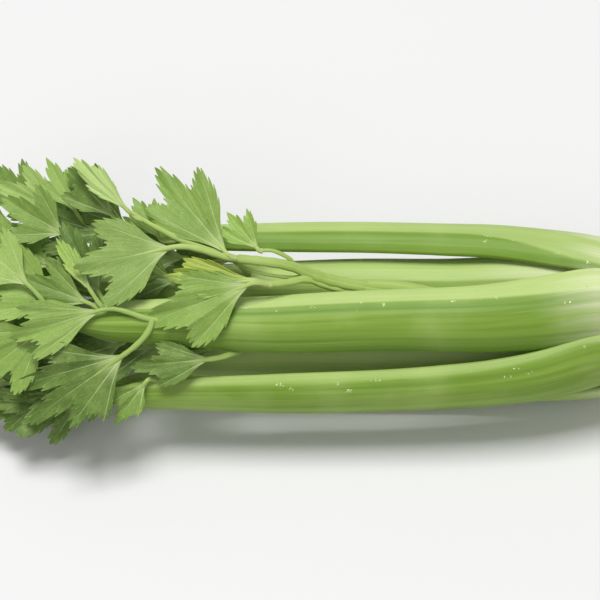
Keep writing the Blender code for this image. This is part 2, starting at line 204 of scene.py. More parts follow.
class MeshParts:
    """Vertices, faces, material numbers and maps, gathered until the mesh is made."""

    def __init__(self) -> None:
        """Starts empty."""
        self.verts: list[np.ndarray] = []
        self.faces: list[np.ndarray] = []
        self.slots: list[np.ndarray] = []
        self.maps: list[np.ndarray] = []
        self.tones: list[np.ndarray] = []
        self.veins: list[np.ndarray] = []
        self.count = 0

    def grid(self, points: np.ndarray, uv: np.ndarray, slot: int = 0, tone: Rgb = (0, 0, 0),
             closed: bool = False, flip: bool = False, veins: np.ndarray | None = None) -> None:
        """Adds a sheet of four-sided faces.

        Args:
            points: rows x columns x 3 places.
            uv: rows x columns x 2 map places.
            slot: its material's number.
            tone: three numbers that its material reads.
            closed: whether the last column meets the first.
            flip: turns the faces over.
            veins: rows x columns x 3 numbers: on a leaflet they place its veins, on a stalk they carry its painted
                light and painted shade.
        """
        rows, cols = points.shape[:2]
        at = np.arange(rows * cols).reshape(rows, cols) + self.count
        right = np.roll(at, -1, axis=1) if closed else at[:, 1:]
        left = at if closed else at[:, :-1]
        quads = np.stack([left[:-1], right[:-1], right[1:], left[1:]], -1).reshape(-1, 4)
        self.faces.append(quads[:, ::-1] if flip else quads)
        self.slots.append(np.full(len(quads), slot))
        self.verts.append(points.reshape(-1, 3))
        self.maps.append(uv.reshape(-1, 2))
        self.tones.append(np.tile(np.array(tone, float), (rows * cols, 1)))
        self.veins.append(np.zeros((rows * cols, 3)) if veins is None else veins.reshape(-1, 3))
        self.count += rows * cols

    def make(self, name: str, materials: list[bpy.types.Material]) -> bpy.types.Object:
        """Makes the mesh object, shaded smooth.

        Args:
            name: the piece's name.
            materials: its materials, by number.

        Returns:
            The piece.
        """
        verts = np.concatenate(self.verts)
        faces = np.concatenate(self.faces)
        uv = np.concatenate(self.maps)
        mesh = bpy.data.meshes.new(name)
        mesh.vertices.add(len(verts))
        mesh.vertices.foreach_set("co", verts.astype(np.float32).ravel())
        mesh.loops.add(faces.size)
        mesh.loops.foreach_set("vertex_index", faces.astype(np.int32).ravel())
        mesh.polygons.add(len(faces))
        mesh.polygons.foreach_set("loop_start", np.arange(0, faces.size, 4, dtype=np.int32))
        mesh.polygons.foreach_set("material_index", np.concatenate(self.slots).astype(np.int32))
        mesh.update(calc_edges=True)
        mesh.validate()
        layer = mesh.uv_layers.new(name="lie")
        index = np.empty(len(mesh.loops), np.int32)
        mesh.loops.foreach_get("vertex_index", index)
        layer.uv.foreach_set("vector", uv[index].astype(np.float32).ravel())
        # The "vein" numbers hold a leaflet's veins and a stalk's painted light and painted shade.
        for label, rows in (("tone", self.tones), ("vein", self.veins)):
            numbers = mesh.attributes.new(label, "FLOAT_VECTOR", "POINT")
            numbers.data.foreach_set("vector", np.concatenate(rows).astype(np.float32).ravel())
        mesh.shade_smooth()
        for material in materials:
            mesh.materials.append(material)
        piece = bpy.data.objects.new(name, mesh)
        bpy.context.scene.collection.objects.link(piece)
        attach(piece, "root")
        return piece


class Graph:
    """A node tree with short ways to add its nodes."""

    def __init__(self, tree: bpy.types.NodeTree) -> None:
        """Wraps a tree."""
        self.tree = tree

    def add(self, kind: str, values: dict | None = None, **settings) -> bpy.types.Node:
        """Adds a node.

        Args:
            kind: the node's type name.
            values: numbers, colours or sockets for its inputs, by name or place.
            settings: the node's own properties.

        Returns:
            The node.
        """
        node = self.tree.nodes.new(kind)
        for key, value in settings.items():
            setattr(node, key, value)
        for key, value in (values or {}).items():
            self.put(node.inputs[key], value)
        return node

    def put(self, socket: bpy.types.NodeSocket, value) -> None:
        """Links a socket to an input, or sets the input's value."""
        if isinstance(value, bpy.types.NodeSocket):
            self.tree.links.new(value, socket)
        elif isinstance(value, tuple) and len(value) == 3 and socket.type == "RGBA":
            socket.default_value = (*value, 1.0)
        else:
            socket.default_value = value

    def math(self, operation: str, a, b=0.0, c=0.0, clamp: bool = False) -> bpy.types.NodeSocket:
        """The result of a Math node."""
        return self.add("ShaderNodeMath", {0: a, 1: b, 2: c}, operation=operation, use_clamp=clamp).outputs[0]

    def band(self, value, low: float, high: float, to_low: float = 0.0, to_high: float = 1.0) -> bpy.types.NodeSocket:
        """A value eased from one range to another."""
        node = self.add(
            "ShaderNodeMapRange", {"Value": value, 1: low, 2: high, 3: to_low, 4: to_high},
            interpolation_type="SMOOTHSTEP",
        )
        return node.outputs[0]

    def mix(self, share, a, b, blend: str = "MIX") -> bpy.types.NodeSocket:
        """Two colours mixed."""
        node = self.add("ShaderNodeMix", data_type="RGBA", blend_type=blend)
        self.put(node.inputs[0], share)
        self.put(node.inputs[6], a)
        self.put(node.inputs[7], b)
        return node.outputs[2]

    def noise(self, place, scale: float, detail: float = 2.0, rough: float = 0.5) -> bpy.types.NodeSocket:
        """A noise value, about 0.5 on average."""
        values = {"Vector": place, "Scale": scale, "Detail": detail, "Roughness": rough}
        return self.add("ShaderNodeTexNoise", values).outputs["Fac"]

    def stretch(self, u, v, w=0.0) -> bpy.types.NodeSocket:
        """A place made of three numbers."""
        return self.add("ShaderNodeCombineXYZ", {0: u, 1: v, 2: w}).outputs[0]

    def split(self, place) -> tuple[bpy.types.NodeSocket, ...]:
        """The three numbers of a place."""
        return tuple(self.add("ShaderNodeSeparateXYZ", {0: place}).outputs)

    def lie(self) -> tuple[bpy.types.NodeSocket, ...]:
        """The piece's own map as two numbers."""
        return self.split(self.add("ShaderNodeUVMap", uv_map="lie").outputs[0])[:2]

    def carried(self, label: str = "tone") -> tuple[bpy.types.NodeSocket, ...]:
        """Three numbers that the piece carries under a label."""
        return self.split(self.add("ShaderNodeAttribute", attribute_name=label).outputs["Vector"])


class Effect(Graph):
    """A shader node group, built once."""

    def __init__(self, name: str, inputs: dict[str, str], outputs: dict[str, str]) -> None:
        """Makes an empty group.

        Args:
            name: the group's name.
            inputs: socket kind by input name.
            outputs: socket kind by output name.
        """
        self.group = bpy.data.node_groups.new(name, "ShaderNodeTree")
        for label, kind in inputs.items():
            self.group.interface.new_socket(label, in_out="INPUT", socket_type=kind)
        for label, kind in outputs.items():
            self.group.interface.new_socket(label, in_out="OUTPUT", socket_type=kind)
        super().__init__(self.group)
        self.given = self.add("NodeGroupInput").outputs
        self.result = self.add("NodeGroupOutput").inputs

    def place(self, graph: Graph, values: dict) -> bpy.types.NodeSocket:
        """Puts the group into a material.

        Args:
            graph: the material's tree.
            values: its inputs by name.

        Returns:
            The placed group's outputs.
        """
        node = graph.add("ShaderNodeGroup", node_tree=self.group)
        for key, value in values.items():
            graph.put(node.inputs[key], value)
        return node.outputs


NUMBER = "NodeSocketFloat"
COLOUR = "NodeSocketColor"
VECTOR = "NodeSocketVector"


def strands_effect() -> Effect:
    """Fine strings that run along a stalk, from its map.

    Returns:
        A group that gives Fine and Broad, each about 0.5 on average.
    """
    effect = Effect("strands", {"Across": NUMBER, "Along": NUMBER, "Seed": NUMBER}, {"Fine": NUMBER, "Broad": NUMBER})
    across, along, seed = effect.given["Across"], effect.given["Along"], effect.given["Seed"]
    wander = effect.noise(effect.stretch(0.0, effect.math("MULTIPLY", along, 9.0), seed), 1.0)
    drift = effect.math("MULTIPLY", effect.math("SUBTRACT", wander, 0.5), 0.0022)
    across = effect.math("ADD", across, drift)
    fine = effect.stretch(effect.math("MULTIPLY", across, 1500.0), effect.math("MULTIPLY", along, 16.0), seed)
    broad = effect.stretch(effect.math("MULTIPLY", across, 330.0), effect.math("MULTIPLY", along, 7.0), seed)
    effect.put(effect.result["Fine"], effect.noise(fine, 1.0, 3.0, 0.6))
    effect.put(effect.result["Broad"], effect.noise(broad, 1.0, 2.0, 0.5))
    return effect


def veins_effect() -> Effect:
    """The veins of a leaflet, from the numbers that place them.

    Returns:
        A group that gives Main, Side and Net, each 1 on a vein.
    """
    effect = Effect(
        "veins", {"Order": NUMBER, "Aside": NUMBER, "Out": NUMBER, "Place": VECTOR},
        {"Main": NUMBER, "Side": NUMBER, "Net": NUMBER},
    )
    order, aside, out = effect.given["Order"], effect.given["Aside"], effect.given["Out"]
    wobble = effect.math("SUBTRACT", effect.noise(effect.given["Place"], 420.0, 2.0), 0.5)
    width = effect.band(out, 0.0, 0.9, 0.52, 0.12)
    drift = effect.math("MULTIPLY", wobble, 0.3)
    main = effect.band(effect.math("DIVIDE", effect.math("ABSOLUTE", effect.math("ADD", aside, drift)), width), 1.0, 0.2)
    main = effect.math("MULTIPLY", main, effect.band(out, 0.15, 0.85, 1.0, 0.45))
    order = effect.math("ADD", order, effect.math("MULTIPLY", wobble, 0.26))
    wave = effect.math("FRACT", effect.math("ADD", order, 0.5))
    bend = effect.math("ABSOLUTE", effect.math("SUBTRACT", wave, 0.5))
    side = effect.math("MULTIPLY", effect.band(bend, 0.10, 0.015), effect.math("GREATER_THAN", order, 0.5))
    half = effect.math("FRACT", effect.math("ADD", effect.math("MULTIPLY", order, 2.0), 0.5))
    minor = effect.band(effect.math("ABSOLUTE", effect.math("SUBTRACT", half, 0.5)), 0.08, 0.01, 0.0, 0.30)
    side = effect.math("MAXIMUM", side, minor)
    side = effect.math("MULTIPLY", side, effect.band(out, 0.15, 0.35))
    side = effect.math("MULTIPLY", side, effect.band(out, 0.68, 0.98, 1.0, 0.2))
    net = effect.add(
        "ShaderNodeTexVoronoi", {"Vector": effect.given["Place"], "Scale": 620.0}, feature="DISTANCE_TO_EDGE"
    )
    effect.put(effect.result["Main"], main)
    effect.put(effect.result["Side"], side)
    effect.put(effect.result["Net"], effect.band(net.outputs["Distance"], 0.10, 0.01))
    return effect


class Effects:
    """The shader groups, built once."""

    strands: Effect
    veins: Effect

    @classmethod
    def build(cls) -> None:
        """Builds every group."""
        cls.strands, cls.veins = strands_effect(), veins_effect()


def new_surface(name: str, roughness: float) -> tuple[bpy.types.Material, Graph, bpy.types.Node]:
    """An empty material.

    Args:
        name: its name.
        roughness: its constant roughness, until something is linked.

    Returns:
        The material, its graph and its shader.
    """
    material = bpy.data.materials.new(name)
    material.use_nodes = True
    shader = material.node_tree.nodes["Principled BSDF"]
    shader.inputs["Roughness"].default_value = roughness
    return material, Graph(material.node_tree), shader


@dataclass(frozen=True)
class SkinFinish:
    """The waxy ribbed skin of a stalk, pale at its foot, with painted light on its upper side and painted shade below
    its crest.
    """

    name: str
    green: Rgb
    light: Rgb
    deep: Rgb
    shadow: Rgb
    foot: Rgb = srgb(232, 236, 196)
    roughness: float = 0.52

    def material(self) -> bpy.types.Material:
        """Builds the material.

        Returns:
            The material.
        """
        material, g, shader = new_surface(self.name, self.roughness)
        across, along = g.lie()
        seed, pale, foot_end = g.carried()
        place = g.add("ShaderNodeTexCoord").outputs["Object"]
        strands = Effects.strands.place(g, {"Across": across, "Along": along, "Seed": seed})
        cloud = g.noise(place, 30.0, 3.0)
        colour = g.mix(g.band(strands["Broad"], 0.32, 0.62), self.deep, self.green)
        colour = g.mix(g.band(strands["Fine"], 0.52, 0.80, 0.0, 0.22), colour, self.light)
        colour = g.mix(g.band(cloud, 0.42, 0.75, 0.0, 0.22), colour, self.light)
        # On a stalk the "vein" numbers hold painted light (lit) and painted shade (shade): shade mixes in the shadow
        # colour, and lit is added to the paleness and mixes in the light colour.
        lit, shade, _ = g.carried("vein")
        colour = g.mix(g.math("MULTIPLY", shade, 0.9, clamp=True), colour, self.shadow)
        pale = g.math("ADD", pale, lit)
        colour = g.mix(g.math("MULTIPLY", pale, 0.9, clamp=True), colour, self.light)
        wander = g.math("MULTIPLY", g.math("SUBTRACT", strands["Broad"], 0.5), 0.06)
        fine = g.math("MULTIPLY", g.math("SUBTRACT", strands["Fine"], 0.5), 0.02)
        reach = g.math("ADD", g.math("ADD", along, wander), fine)
        share = g.math("DIVIDE", reach, foot_end)
        colour = g.mix(g.band(share, 1.25, 0.10), colour, self.foot)
        g.put(shader.inputs["Base Color"], colour)
        g.put(shader.inputs["Roughness"], g.band(strands["Fine"], 0.3, 0.7, self.roughness - 0.05, self.roughness + 0.08))
        shader.inputs["Subsurface Weight"].default_value = 0.12
        shader.inputs["Subsurface Radius"].default_value = (0.4, 0.6, 0.2)
        shader.inputs["Subsurface Scale"].default_value = 0.004
        shader.inputs["Specular IOR Level"].default_value = 0.24
        shader.inputs["Coat Weight"].default_value = 0.04
        shader.inputs["Coat Roughness"].default_value = 0.30
        bump = g.add("ShaderNodeBump", {"Height": strands["Fine"], "Distance": 0.00025, "Strength": 0.32})
        g.put(shader.inputs["Normal"], bump.outputs[0])
        return material


@dataclass(frozen=True)
class BeadFinish:
    """A bead of water on the skin, drawn opaque; its pale colour paints the glint of the water, a painted highlight.
    """

    name: str
    tint: Rgb

    def material(self) -> bpy.types.Material:
        """Builds the material.

        Returns:
            The material.
        """
        material, g, shader = new_surface(self.name, 0.06)
        place = g.add("ShaderNodeTexCoord").outputs["Object"]
        cloud = g.noise(place, 700.0, 2.0)
        g.put(shader.inputs["Base Color"], g.mix(g.band(cloud, 0.35, 0.65), self.tint, (0.62, 0.74, 0.36)))
        shader.inputs["Coat Weight"].default_value = 1.0
        shader.inputs["Coat Roughness"].default_value = 0.04
        return material


@dataclass(frozen=True)
class FleshFinish:
    """Moist cut flesh, with strings that end in it and an edge that has dried."""

    name: str
    flesh: Rgb
    string: Rgb
    dried: Rgb

    def material(self) -> bpy.types.Material:
        """Builds the material.

        Returns:
            The material.
        """
        material, g, shader = new_surface(self.name, 0.42)
        across, depth = g.lie()
        place = g.add("ShaderNodeTexCoord").outputs["Object"]
        spots = g.add("ShaderNodeTexVoronoi", {"Vector": place, "Scale": 300.0}, feature="F1")
        cloud = g.noise(place, 90.0, 4.0)
        colour = g.mix(g.band(cloud, 0.35, 0.7, 0.0, 0.5), self.flesh, self.dried)
        colour = g.mix(g.band(spots.outputs["Distance"], 0.30, 0.12, 0.0, 0.55), colour, self.string)
        colour = g.mix(g.band(depth, 0.78, 1.0, 0.0, 0.75), colour, self.dried)
        g.put(shader.inputs["Base Color"], colour)
        shader.inputs["Subsurface Weight"].default_value = 0.15
        shader.inputs["Subsurface Scale"].default_value = 0.003
        bump = g.add("ShaderNodeBump", {"Height": cloud, "Distance": 0.0006, "Strength": 0.6})
        g.put(shader.inputs["Normal"], bump.outputs[0])
        return material


@dataclass(frozen=True)
class BladeFinish:
    """One face of a leaflet, with pale sunken veins."""

    name: str
    deep: Rgb
    green: Rgb
    fresh: Rgb
    vein: Rgb
    yellow: Rgb
    roughness: float
    relief: float = 1.0

    def material(self) -> bpy.types.Material:
        """Builds the material.

        Returns:
            The material.
        """
        material, g, shader = new_surface(self.name, self.roughness)
        across, out = g.lie()
        tone, ripe, faint = g.carried()
        place = g.add("ShaderNodeTexCoord").outputs["Object"]
        order, aside, reach = g.carried("vein")
        veins = Effects.veins.place(g, {"Order": order, "Aside": aside, "Out": reach, "Place": place})
        cloud = g.noise(place, 90.0, 4.0, 0.6)
        grain = g.noise(place, 1100.0, 2.0)
        colour = g.mix(tone, self.deep, self.green)
        colour = g.mix(g.band(cloud, 0.36, 0.74, 0.0, 0.34), colour, self.fresh)
        colour = g.mix(g.band(grain, 0.3, 0.7, 0.0, 0.16), colour, self.deep)
        colour = g.mix(g.band(out, 0.30, 0.05, 0.0, 0.6), colour, self.vein)
        ripening = g.band(g.math("ADD", g.math("MULTIPLY", cloud, 0.9), ripe), 0.75, 1.55)
        colour = g.mix(ripening, colour, self.yellow)
        lines = g.math("MAXIMUM", veins["Main"], g.math("MULTIPLY", veins["Side"], 0.42))
        lines = g.math("MAXIMUM", lines, g.math("MULTIPLY", veins["Net"], 0.10))
        colour = g.mix(g.math("MULTIPLY", lines, 0.52), colour, self.vein)
        g.put(shader.inputs["Base Color"], g.mix(faint, colour, self.vein))
        g.put(shader.inputs["Roughness"], g.band(grain, 0.3, 0.7, self.roughness - 0.05, self.roughness + 0.08))
        shader.inputs["Specular IOR Level"].default_value = 0.32
        shader.inputs["Subsurface Weight"].default_value = 0.10
        shader.inputs["Subsurface Radius"].default_value = (0.5, 0.8, 0.2)
        shader.inputs["Subsurface Scale"].default_value = 0.0012
        height = g.math("SUBTRACT", g.math("MULTIPLY", cloud, 0.5), g.math("MULTIPLY", lines, self.relief))
        bump = g.add("ShaderNodeBump", {"Height": height, "Distance": 0.00022, "Strength": 0.5})
        g.put(shader.inputs["Normal"], bump.outputs[0])
        return material


class Finishes:
    """The materials, built once."""

    skin: bpy.types.Material
    young: bpy.types.Material
    bead: bpy.types.Material
    flesh: bpy.types.Material
    upper: bpy.types.Material
    lower: bpy.types.Material

    @classmethod
    def build(cls) -> None:
        """Builds every material."""
        cls.skin = SkinFinish(
            "stalk_skin", srgb(138, 169, 67), srgb(202, 222, 146), srgb(119, 152, 53), srgb(96, 136, 34)
        ).material()
        cls.young = SkinFinish(
            "young_skin", srgb(166, 192, 96), srgb(208, 222, 150), srgb(142, 171, 76), srgb(124, 156, 58)
        ).material()
        # The bead's pale tint is a painted highlight for the glint of the water.
        cls.bead = BeadFinish("water_bead", srgb(176, 204, 116)).material()
        cls.flesh = FleshFinish("cut_flesh", srgb(228, 222, 184), srgb(186, 182, 124), srgb(206, 186, 140)).material()
        cls.upper = BladeFinish(
            "leaf_upper", srgb(80, 110, 34), srgb(150, 183, 84), srgb(170, 198, 106), srgb(204, 222, 156),
            srgb(188, 198, 72), 0.52,
        ).material()
        cls.lower = BladeFinish(
            "leaf_under", srgb(118, 150, 86), srgb(166, 194, 120), srgb(182, 206, 138), srgb(208, 224, 166),
            srgb(206, 206, 120), 0.56, relief=-1.0,
        ).material()


@dataclass(frozen=True)
class Lobe:
    """One lobe of a blade, in shares of the blade's spread and length."""

    middle: float
    half: float
    reach: float
    outer: int = 0  # -1 or 1 where that side is the blade's own side


def lobes(*reaches: float) -> tuple[Lobe, ...]:
    """Lobes of even width that fill a blade, clockwise first, from how far each reaches."""
    half = 1 / len(reaches)
    last = len(reaches) - 1
    return tuple(
        Lobe(-1 + half * (2 * k + 1), half, reach, -1 if k == 0 else int(k == last)) for k, reach in enumerate(reaches)
    )


@dataclass(frozen=True)
class Leaflet:
    """One leaflet: where its leaf stalk starts and ends, and how its blade lies."""

    start: Place
    root: Place
    heading: float
    length: float
    width: float = 0.9
    tilt: float = 0.0
    pitch: float = 0.0
    roll: float = 0.0
    curl: float = 25.0
    fold: float = 12.0
    tone: float = 0.7
    ripe: float = 0.0
    faint: float = 0.0  # how far its colour is mixed towards the pale vein colour
    seed: int = 0
    leave: Place = (-1, 0, 0.15)
    stalk: float = 1.0  # how thick its leaf stalk is
    lobes: tuple[Lobe, ...] = lobes(0.80, 1.0, 0.80)

    def axes(self) -> tuple[Vector, Vector, Vector]:
        """Unit vectors along the midrib, across the blade and out of its upper face."""
        heading, pitch, tilt = (math.radians(value) for value in (self.heading, self.pitch, self.tilt))
        facing = Sight.way(0, math.sin(tilt), math.cos(tilt))
        along = Sight.way(1, 0, 0)
        flat = along * math.cos(heading) + facing.cross(along) * math.sin(heading)
        ahead = flat * math.cos(pitch) + facing * math.sin(pitch)
        across = Matrix.Rotation(math.radians(self.roll), 3, ahead) @ facing.cross(ahead).normalized()
        return ahead, across, ahead.cross(across)


@dataclass
class Blade:
    """The thin, veined, toothed blade of one leaflet."""

    leaflet: Leaflet
    thickness: float = 0.00042
    spread: float = 48.0
    rings: int = 20
    edge_steps: int = 4

    def teeth(self, lobe: Lobe) -> int:
        """How many side teeth stand on each inner side of a lobe."""
        size = self.leaflet.length * self.leaflet.width * lobe.half * 3
        return sum(size > least for least in (0.0105, 0.0230, 0.0325))

    def half_lobe(self, lobe: Lobe, side: int, size: float, depth: float,
                  chance: random.Random) -> list[tuple[float, float, float, float]]:
        """The marks along one side of a lobe, from its tip outwards.

        Args:
            lobe: the lobe.
            side: -1 or 1.
            size: the lobe's reach.
            depth: how far in the cut beside it goes.
            chance: seeded numbers.

        Returns:
            (place across the lobe, reach, vein order, bulge of the edge before it) marks.
        """
        own = side == lobe.outer
        count = self.teeth(lobe) + (1 if own else 0)
        foot = 0.52 * size if own else max(depth, 0.66 * size)
        marks, last, tip = [], 0.0, size
        for k in range(1, count + 1):
            d = (k + chance.uniform(-0.14, 0.14)) / (count + 0.42)
            reach = (size - (size - foot) * d ** 1.8) * chance.uniform(0.98, 1.02)
            valley = last + (d - last) * chance.uniform(0.56, 0.70)
            low = min(tip, reach) - chance.uniform(0.030, 0.058)
            marks.append((valley, low, k - 0.5, 0.016))
            marks.append((d, reach, float(k), 0.022))
            last, tip = d, reach
        if own:
            marks.append((1.0, tip - 0.10, count + 0.5, 0.012))
        else:
            marks.append((0.93, (tip + depth * 2) / 3, count + 0.42, 0.02))
            marks.append((1.0, depth, count + 0.5, 0.0))
        return marks

    def outline(self, chance: random.Random) -> np.ndarray:
        """The blade's edge.

        Args:
            chance: seeded numbers that make each blade its own.

        Returns:
            For every ray: share of the spread, reach, place in its lobe, vein order, and lobe number.
        """
        wide = (self.leaflet.width - 0.45) / 0.55
        last = len(self.leaflet.lobes) - 1
        depths = [0.76 - 0.25 * wide + chance.uniform(-0.06, 0.06) for _ in range(last)]
        rays: list[tuple[float, ...]] = []
        for number, lobe in enumerate(self.leaflet.lobes):
            size = lobe.reach * chance.uniform(0.95, 1.04)
            left = self.half_lobe(lobe, -1, size, depths[max(number - 1, 0)], chance)
            right = self.half_lobe(lobe, 1, size, depths[min(number, last - 1)], chance)
            marks = [(-d, reach, order, bulge) for d, reach, order, bulge in left[::-1]]
            bulges = [mark[3] for mark in marks] + [mark[3] for mark in right]
            marks += [(0.0, size, 0.0, 0.0), *right]
            for k, (a, b) in enumerate(zip(marks, marks[1:])):
                for step in range(self.edge_steps):
                    t = step / self.edge_steps
                    reach = a[1] + (b[1] - a[1]) * t + bulges[k] * math.sin(math.pi * t) * 0.8
                    d = a[0] + (b[0] - a[0]) * t
                    rays.append((lobe.middle + d * lobe.half, reach, d, a[2] + (b[2] - a[2]) * t, number))
        rays.append((1.0, rays[-1][1], 1.0, rays[-1][3], number))
        return np.array(rays)

    def surface(self) -> tuple[np.ndarray, np.ndarray, np.ndarray]:
        """The blade's middle surface.

        Returns:
            Rings x rays x 3 places, the map places, and the numbers that place the veins.
        """
        leaf = self.leaflet
        chance = random.Random(leaf.seed)
        share, reach, local, order, number = self.outline(chance).T
        t = np.linspace(0.0, 1.0, self.rings)[:, None] ** 0.85
        even = 0.62 - 0.16 * np.abs(share) ** 1.8
        out = t * (even + (reach - even) * t ** 1.6) + 0.025 * (1 - t)
        middles = np.array([lobe.middle for lobe in leaf.lobes])[number.astype(int)]
        close = np.clip((out - 0.55) / 0.45, 0, 1) * 0.12
        turned = share + (middles - share) * close
        sides = np.abs(share) ** 2
        turned = turned * (1 - 0.34 * sides * np.exp(-((out / 0.30) ** 2)) + 0.10 * sides * np.sin(np.pi * out) ** 2)
        angle = np.radians(turned * self.spread * leaf.width)
        along = leaf.length * out * np.cos(angle)
        aside = leaf.length * out * np.sin(angle)
        bend = math.radians(leaf.curl) / leaf.length
        soft = np.sqrt(aside ** 2 + (0.09 * leaf.length) ** 2) - 0.09 * leaf.length
        lift = math.tan(math.radians(leaf.fold)) * soft
        phase = [chance.uniform(0, math.tau) for _ in range(8)]
        tips = np.array([chance.uniform(-1, 1) for _ in leaf.lobes])[number.astype(int)][None, :]
        size = leaf.length
        place = np.abs(local)[None, :]
        fan = np.abs(share - middles)[None, :]
        from_main = size * out * np.radians(fan * self.spread * leaf.width)
        veins = (order[None, :] + (1 - t) * 2.4) * 2
        lift = lift + size * 0.034 * (place ** 2 - 0.4) * out ** 1.5
        lift = lift + size * 0.060 * tips * out ** 2 * (1 - place ** 2)
        lift = lift + size * 0.024 * np.sin(10.0 * share[None, :] + phase[0] + 2.0 * out) * out ** 2
        lift = lift + size * 0.011 * np.sin(27.0 * share[None, :] + phase[1] + 5.0 * out) * out ** 3
        lift = lift + size * 0.020 * np.sin(6.0 * out + phase[2]) * out
        lift = lift - 0.00004 * np.cos(math.pi * veins) * np.minimum(out * 2, 1) * (place > 0.02)
        lift = lift - 0.00014 * np.exp(-((from_main / 0.0010) ** 2))
        turn = bend * along
        ahead, across, facing = (np.array(axis) for axis in leaf.axes())
        root = np.array(Sight.point(*leaf.root))
        points = (
            root
            + ahead * (np.sin(turn) / bend + lift * np.sin(turn))[..., None]
            + across * aside[..., None]
            + facing * (-(1 - np.cos(turn)) / bend + lift * np.cos(turn))[..., None]
        )
        points[..., 2] = np.maximum(points[..., 2], 0.0004)
        uv = np.stack([np.broadcast_to(share[None, :], out.shape), out], -1)
        numbers = np.stack([np.broadcast_to(veins, out.shape), from_main * 1000, out], -1)
        return points, uv, numbers

    def add_to(self, parts: MeshParts) -> None:
        """Adds the blade's upper face, lower face and edge to the mesh parts."""
        points, uv, numbers = self.surface()
        down = np.gradient(points, axis=0)
        side = np.gradient(points, axis=1)
        normal = np.cross(down, side)
        normal /= np.linalg.norm(normal, axis=-1, keepdims=True) + 1e-12
        facing = np.array(self.leaflet.axes()[2])
        flip = float((normal @ facing).mean()) < 0
        if flip:
            normal = -normal
        thin = self.thickness / 2 * np.linspace(1.0, 0.5, self.rings)[:, None, None]
        upper, lower = points + normal * thin, points - normal * thin
        for sheet in (upper, lower):
            sheet[..., 2] = np.maximum(sheet[..., 2], 0.0001)
        tone = (self.leaflet.tone, self.leaflet.ripe, self.leaflet.faint)
        parts.grid(upper, uv, 0, tone, flip=flip, veins=numbers)
        parts.grid(lower, uv, 1, tone, flip=not flip, veins=numbers)
        loop = [(0, slice(None)), (slice(None), -1), (-1, slice(None, None, -1)), (slice(None, None, -1), 0)]
        top, low, marks, spots = (np.concatenate([sheet[spot] for spot in loop]) for sheet in (upper, lower, uv, numbers))
        parts.grid(
            np.stack([top, low]), np.stack([marks, marks]), 0, tone, flip=not flip, veins=np.stack([spots, spots])
        )


@dataclass
class LeafStalk:
    """A thin round leaf stalk with a shallow channel, along a line of points."""

    points: list[Vector]
    radii: list[float]
    tone: Rgb = (0.0, 0.3, 0.0)
    sides: int = 14

    def add_to(self, parts: MeshParts, slot: int = 0) -> None:
        """Adds the leaf stalk to the mesh parts.

        Args:
            parts: what it is added to.
            slot: its material's number.
        """
        steps = 5
        line = smooth_line(self.points, steps)
        stations = np.linspace(0, len(self.points) - 1, len(line))
        radii = np.interp(stations, np.arange(len(self.radii)), self.radii)
        upward = Sight.way(0, 0.2, 1)
        rows, marks, run = [], [], 0.0
        angles = np.linspace(0, math.tau, self.sides, endpoint=False)
        for k, point in enumerate(line):
            tangent = (line[min(k + 1, len(line) - 1)] - line[max(k - 1, 0)]).normalized()
            out = (upward - tangent * upward.dot(tangent)).normalized()
            aside = tangent.cross(out)
            run += (point - line[max(k - 1, 0)]).length
            swell = radii[k] * (1 + 0.05 * math.sin(run * 900 + radii[0] * 9000))
            if k in (0, len(line) - 1):
                swell *= 0.35
            channel = 1 - 0.24 * np.exp(-((np.minimum(angles, math.tau - angles)) / 0.55) ** 2)
            ridge = 1 + 0.045 * np.cos(angles * 6)
            radius = swell * channel * ridge
            ring = (
                np.array(point)
                + np.cos(angles)[:, None] * radius[:, None] * np.array(out)
                + np.sin(angles)[:, None] * radius[:, None] * np.array(aside)
            )
            rows.append(ring)
            marks.append(np.stack([angles * 0.0016, np.full(self.sides, 0.2 + run)], -1))
        first = np.repeat(np.array(line[0])[None, None], self.sides, 1)
        last = np.repeat(np.array(line[-1])[None, None], self.sides, 1)
        rings = np.concatenate([first, np.stack(rows), last])
        rings[..., 2] = np.maximum(rings[..., 2], 0.0002)
        uv = np.concatenate([marks[0][None], np.stack(marks), marks[-1][None]])
        parts.grid(rings, uv, slot, self.tone, closed=True, flip=True)


def spray(top: Place, tip: Place, size: float, seed: int, spread: float = 42, tilt: float = 0.0,
          places: tuple[tuple[float, int], ...] = SPRAY_PLACES,
          tone: float = 0.2) -> "tuple[list[Branch], list[Leaflet]]":
    """The upper end of a stalk, a leaf that branches evenly on both sides.

    Args:
        top: where its stalk ends.
        tip: where its last leaflet starts.
        size: leaflet length.
        seed: for the small differences.
        spread: degrees between the side leaflets and the middle line.
        tilt: degrees that its plane is turned away from the viewer.
        places: (share of the run, side) of each leaflet.
        tone: how light its darkest leaflet is.

    Returns:
        The branch along its middle, in a list, and the leaflets.
    """
    chance = random.Random(seed)
    start, end = Vector(top), Vector(tip)
    run = end - start
    course = math.degrees(math.atan2(run.y, run.x)) % 360
    turned = math.radians(tilt)
    leaves = []
    for number, (share, side) in enumerate(places):
        aside = 0.0065 * side
        out = Vector((-0.005, aside * math.cos(turned), -aside * math.sin(turned)))
        leaves.append(
            Leaflet(
                tuple(start + run * (share - 0.12)),
                tuple(start + run * share + out),
                course - side * (spread + chance.uniform(-8, 8)),
                size * (chance.uniform(0.80, 0.95) if side else 1.05),
                width=chance.uniform(0.8, 1.0),
                tilt=tilt,
                pitch=chance.uniform(-4, 5),
                roll=chance.uniform(-7, 7),
                curl=chance.uniform(10, 24),
                fold=chance.uniform(6, 14),
                tone=tone + 0.6 * ((seed * 7 + number * 5) % 11) / 11,
                seed=seed * 10 + number,
            )
        )
    line = [tuple(start + run * share) for share in (-0.12, 0.15, 0.5, 0.8, 1.0)]
    return [Branch(line, 0.0024, 0.0013)], leaves


class Foot(Enum):
    """Where a stalk ends at the root."""

    CUT = CUT_X
    CROWN = INNER_FOOT_X


@dataclass
class Branch:
    """A stretch of the thin upper part of a stem, with its thickness at both ends."""

    places: list[Place]
    start: float
    end: float


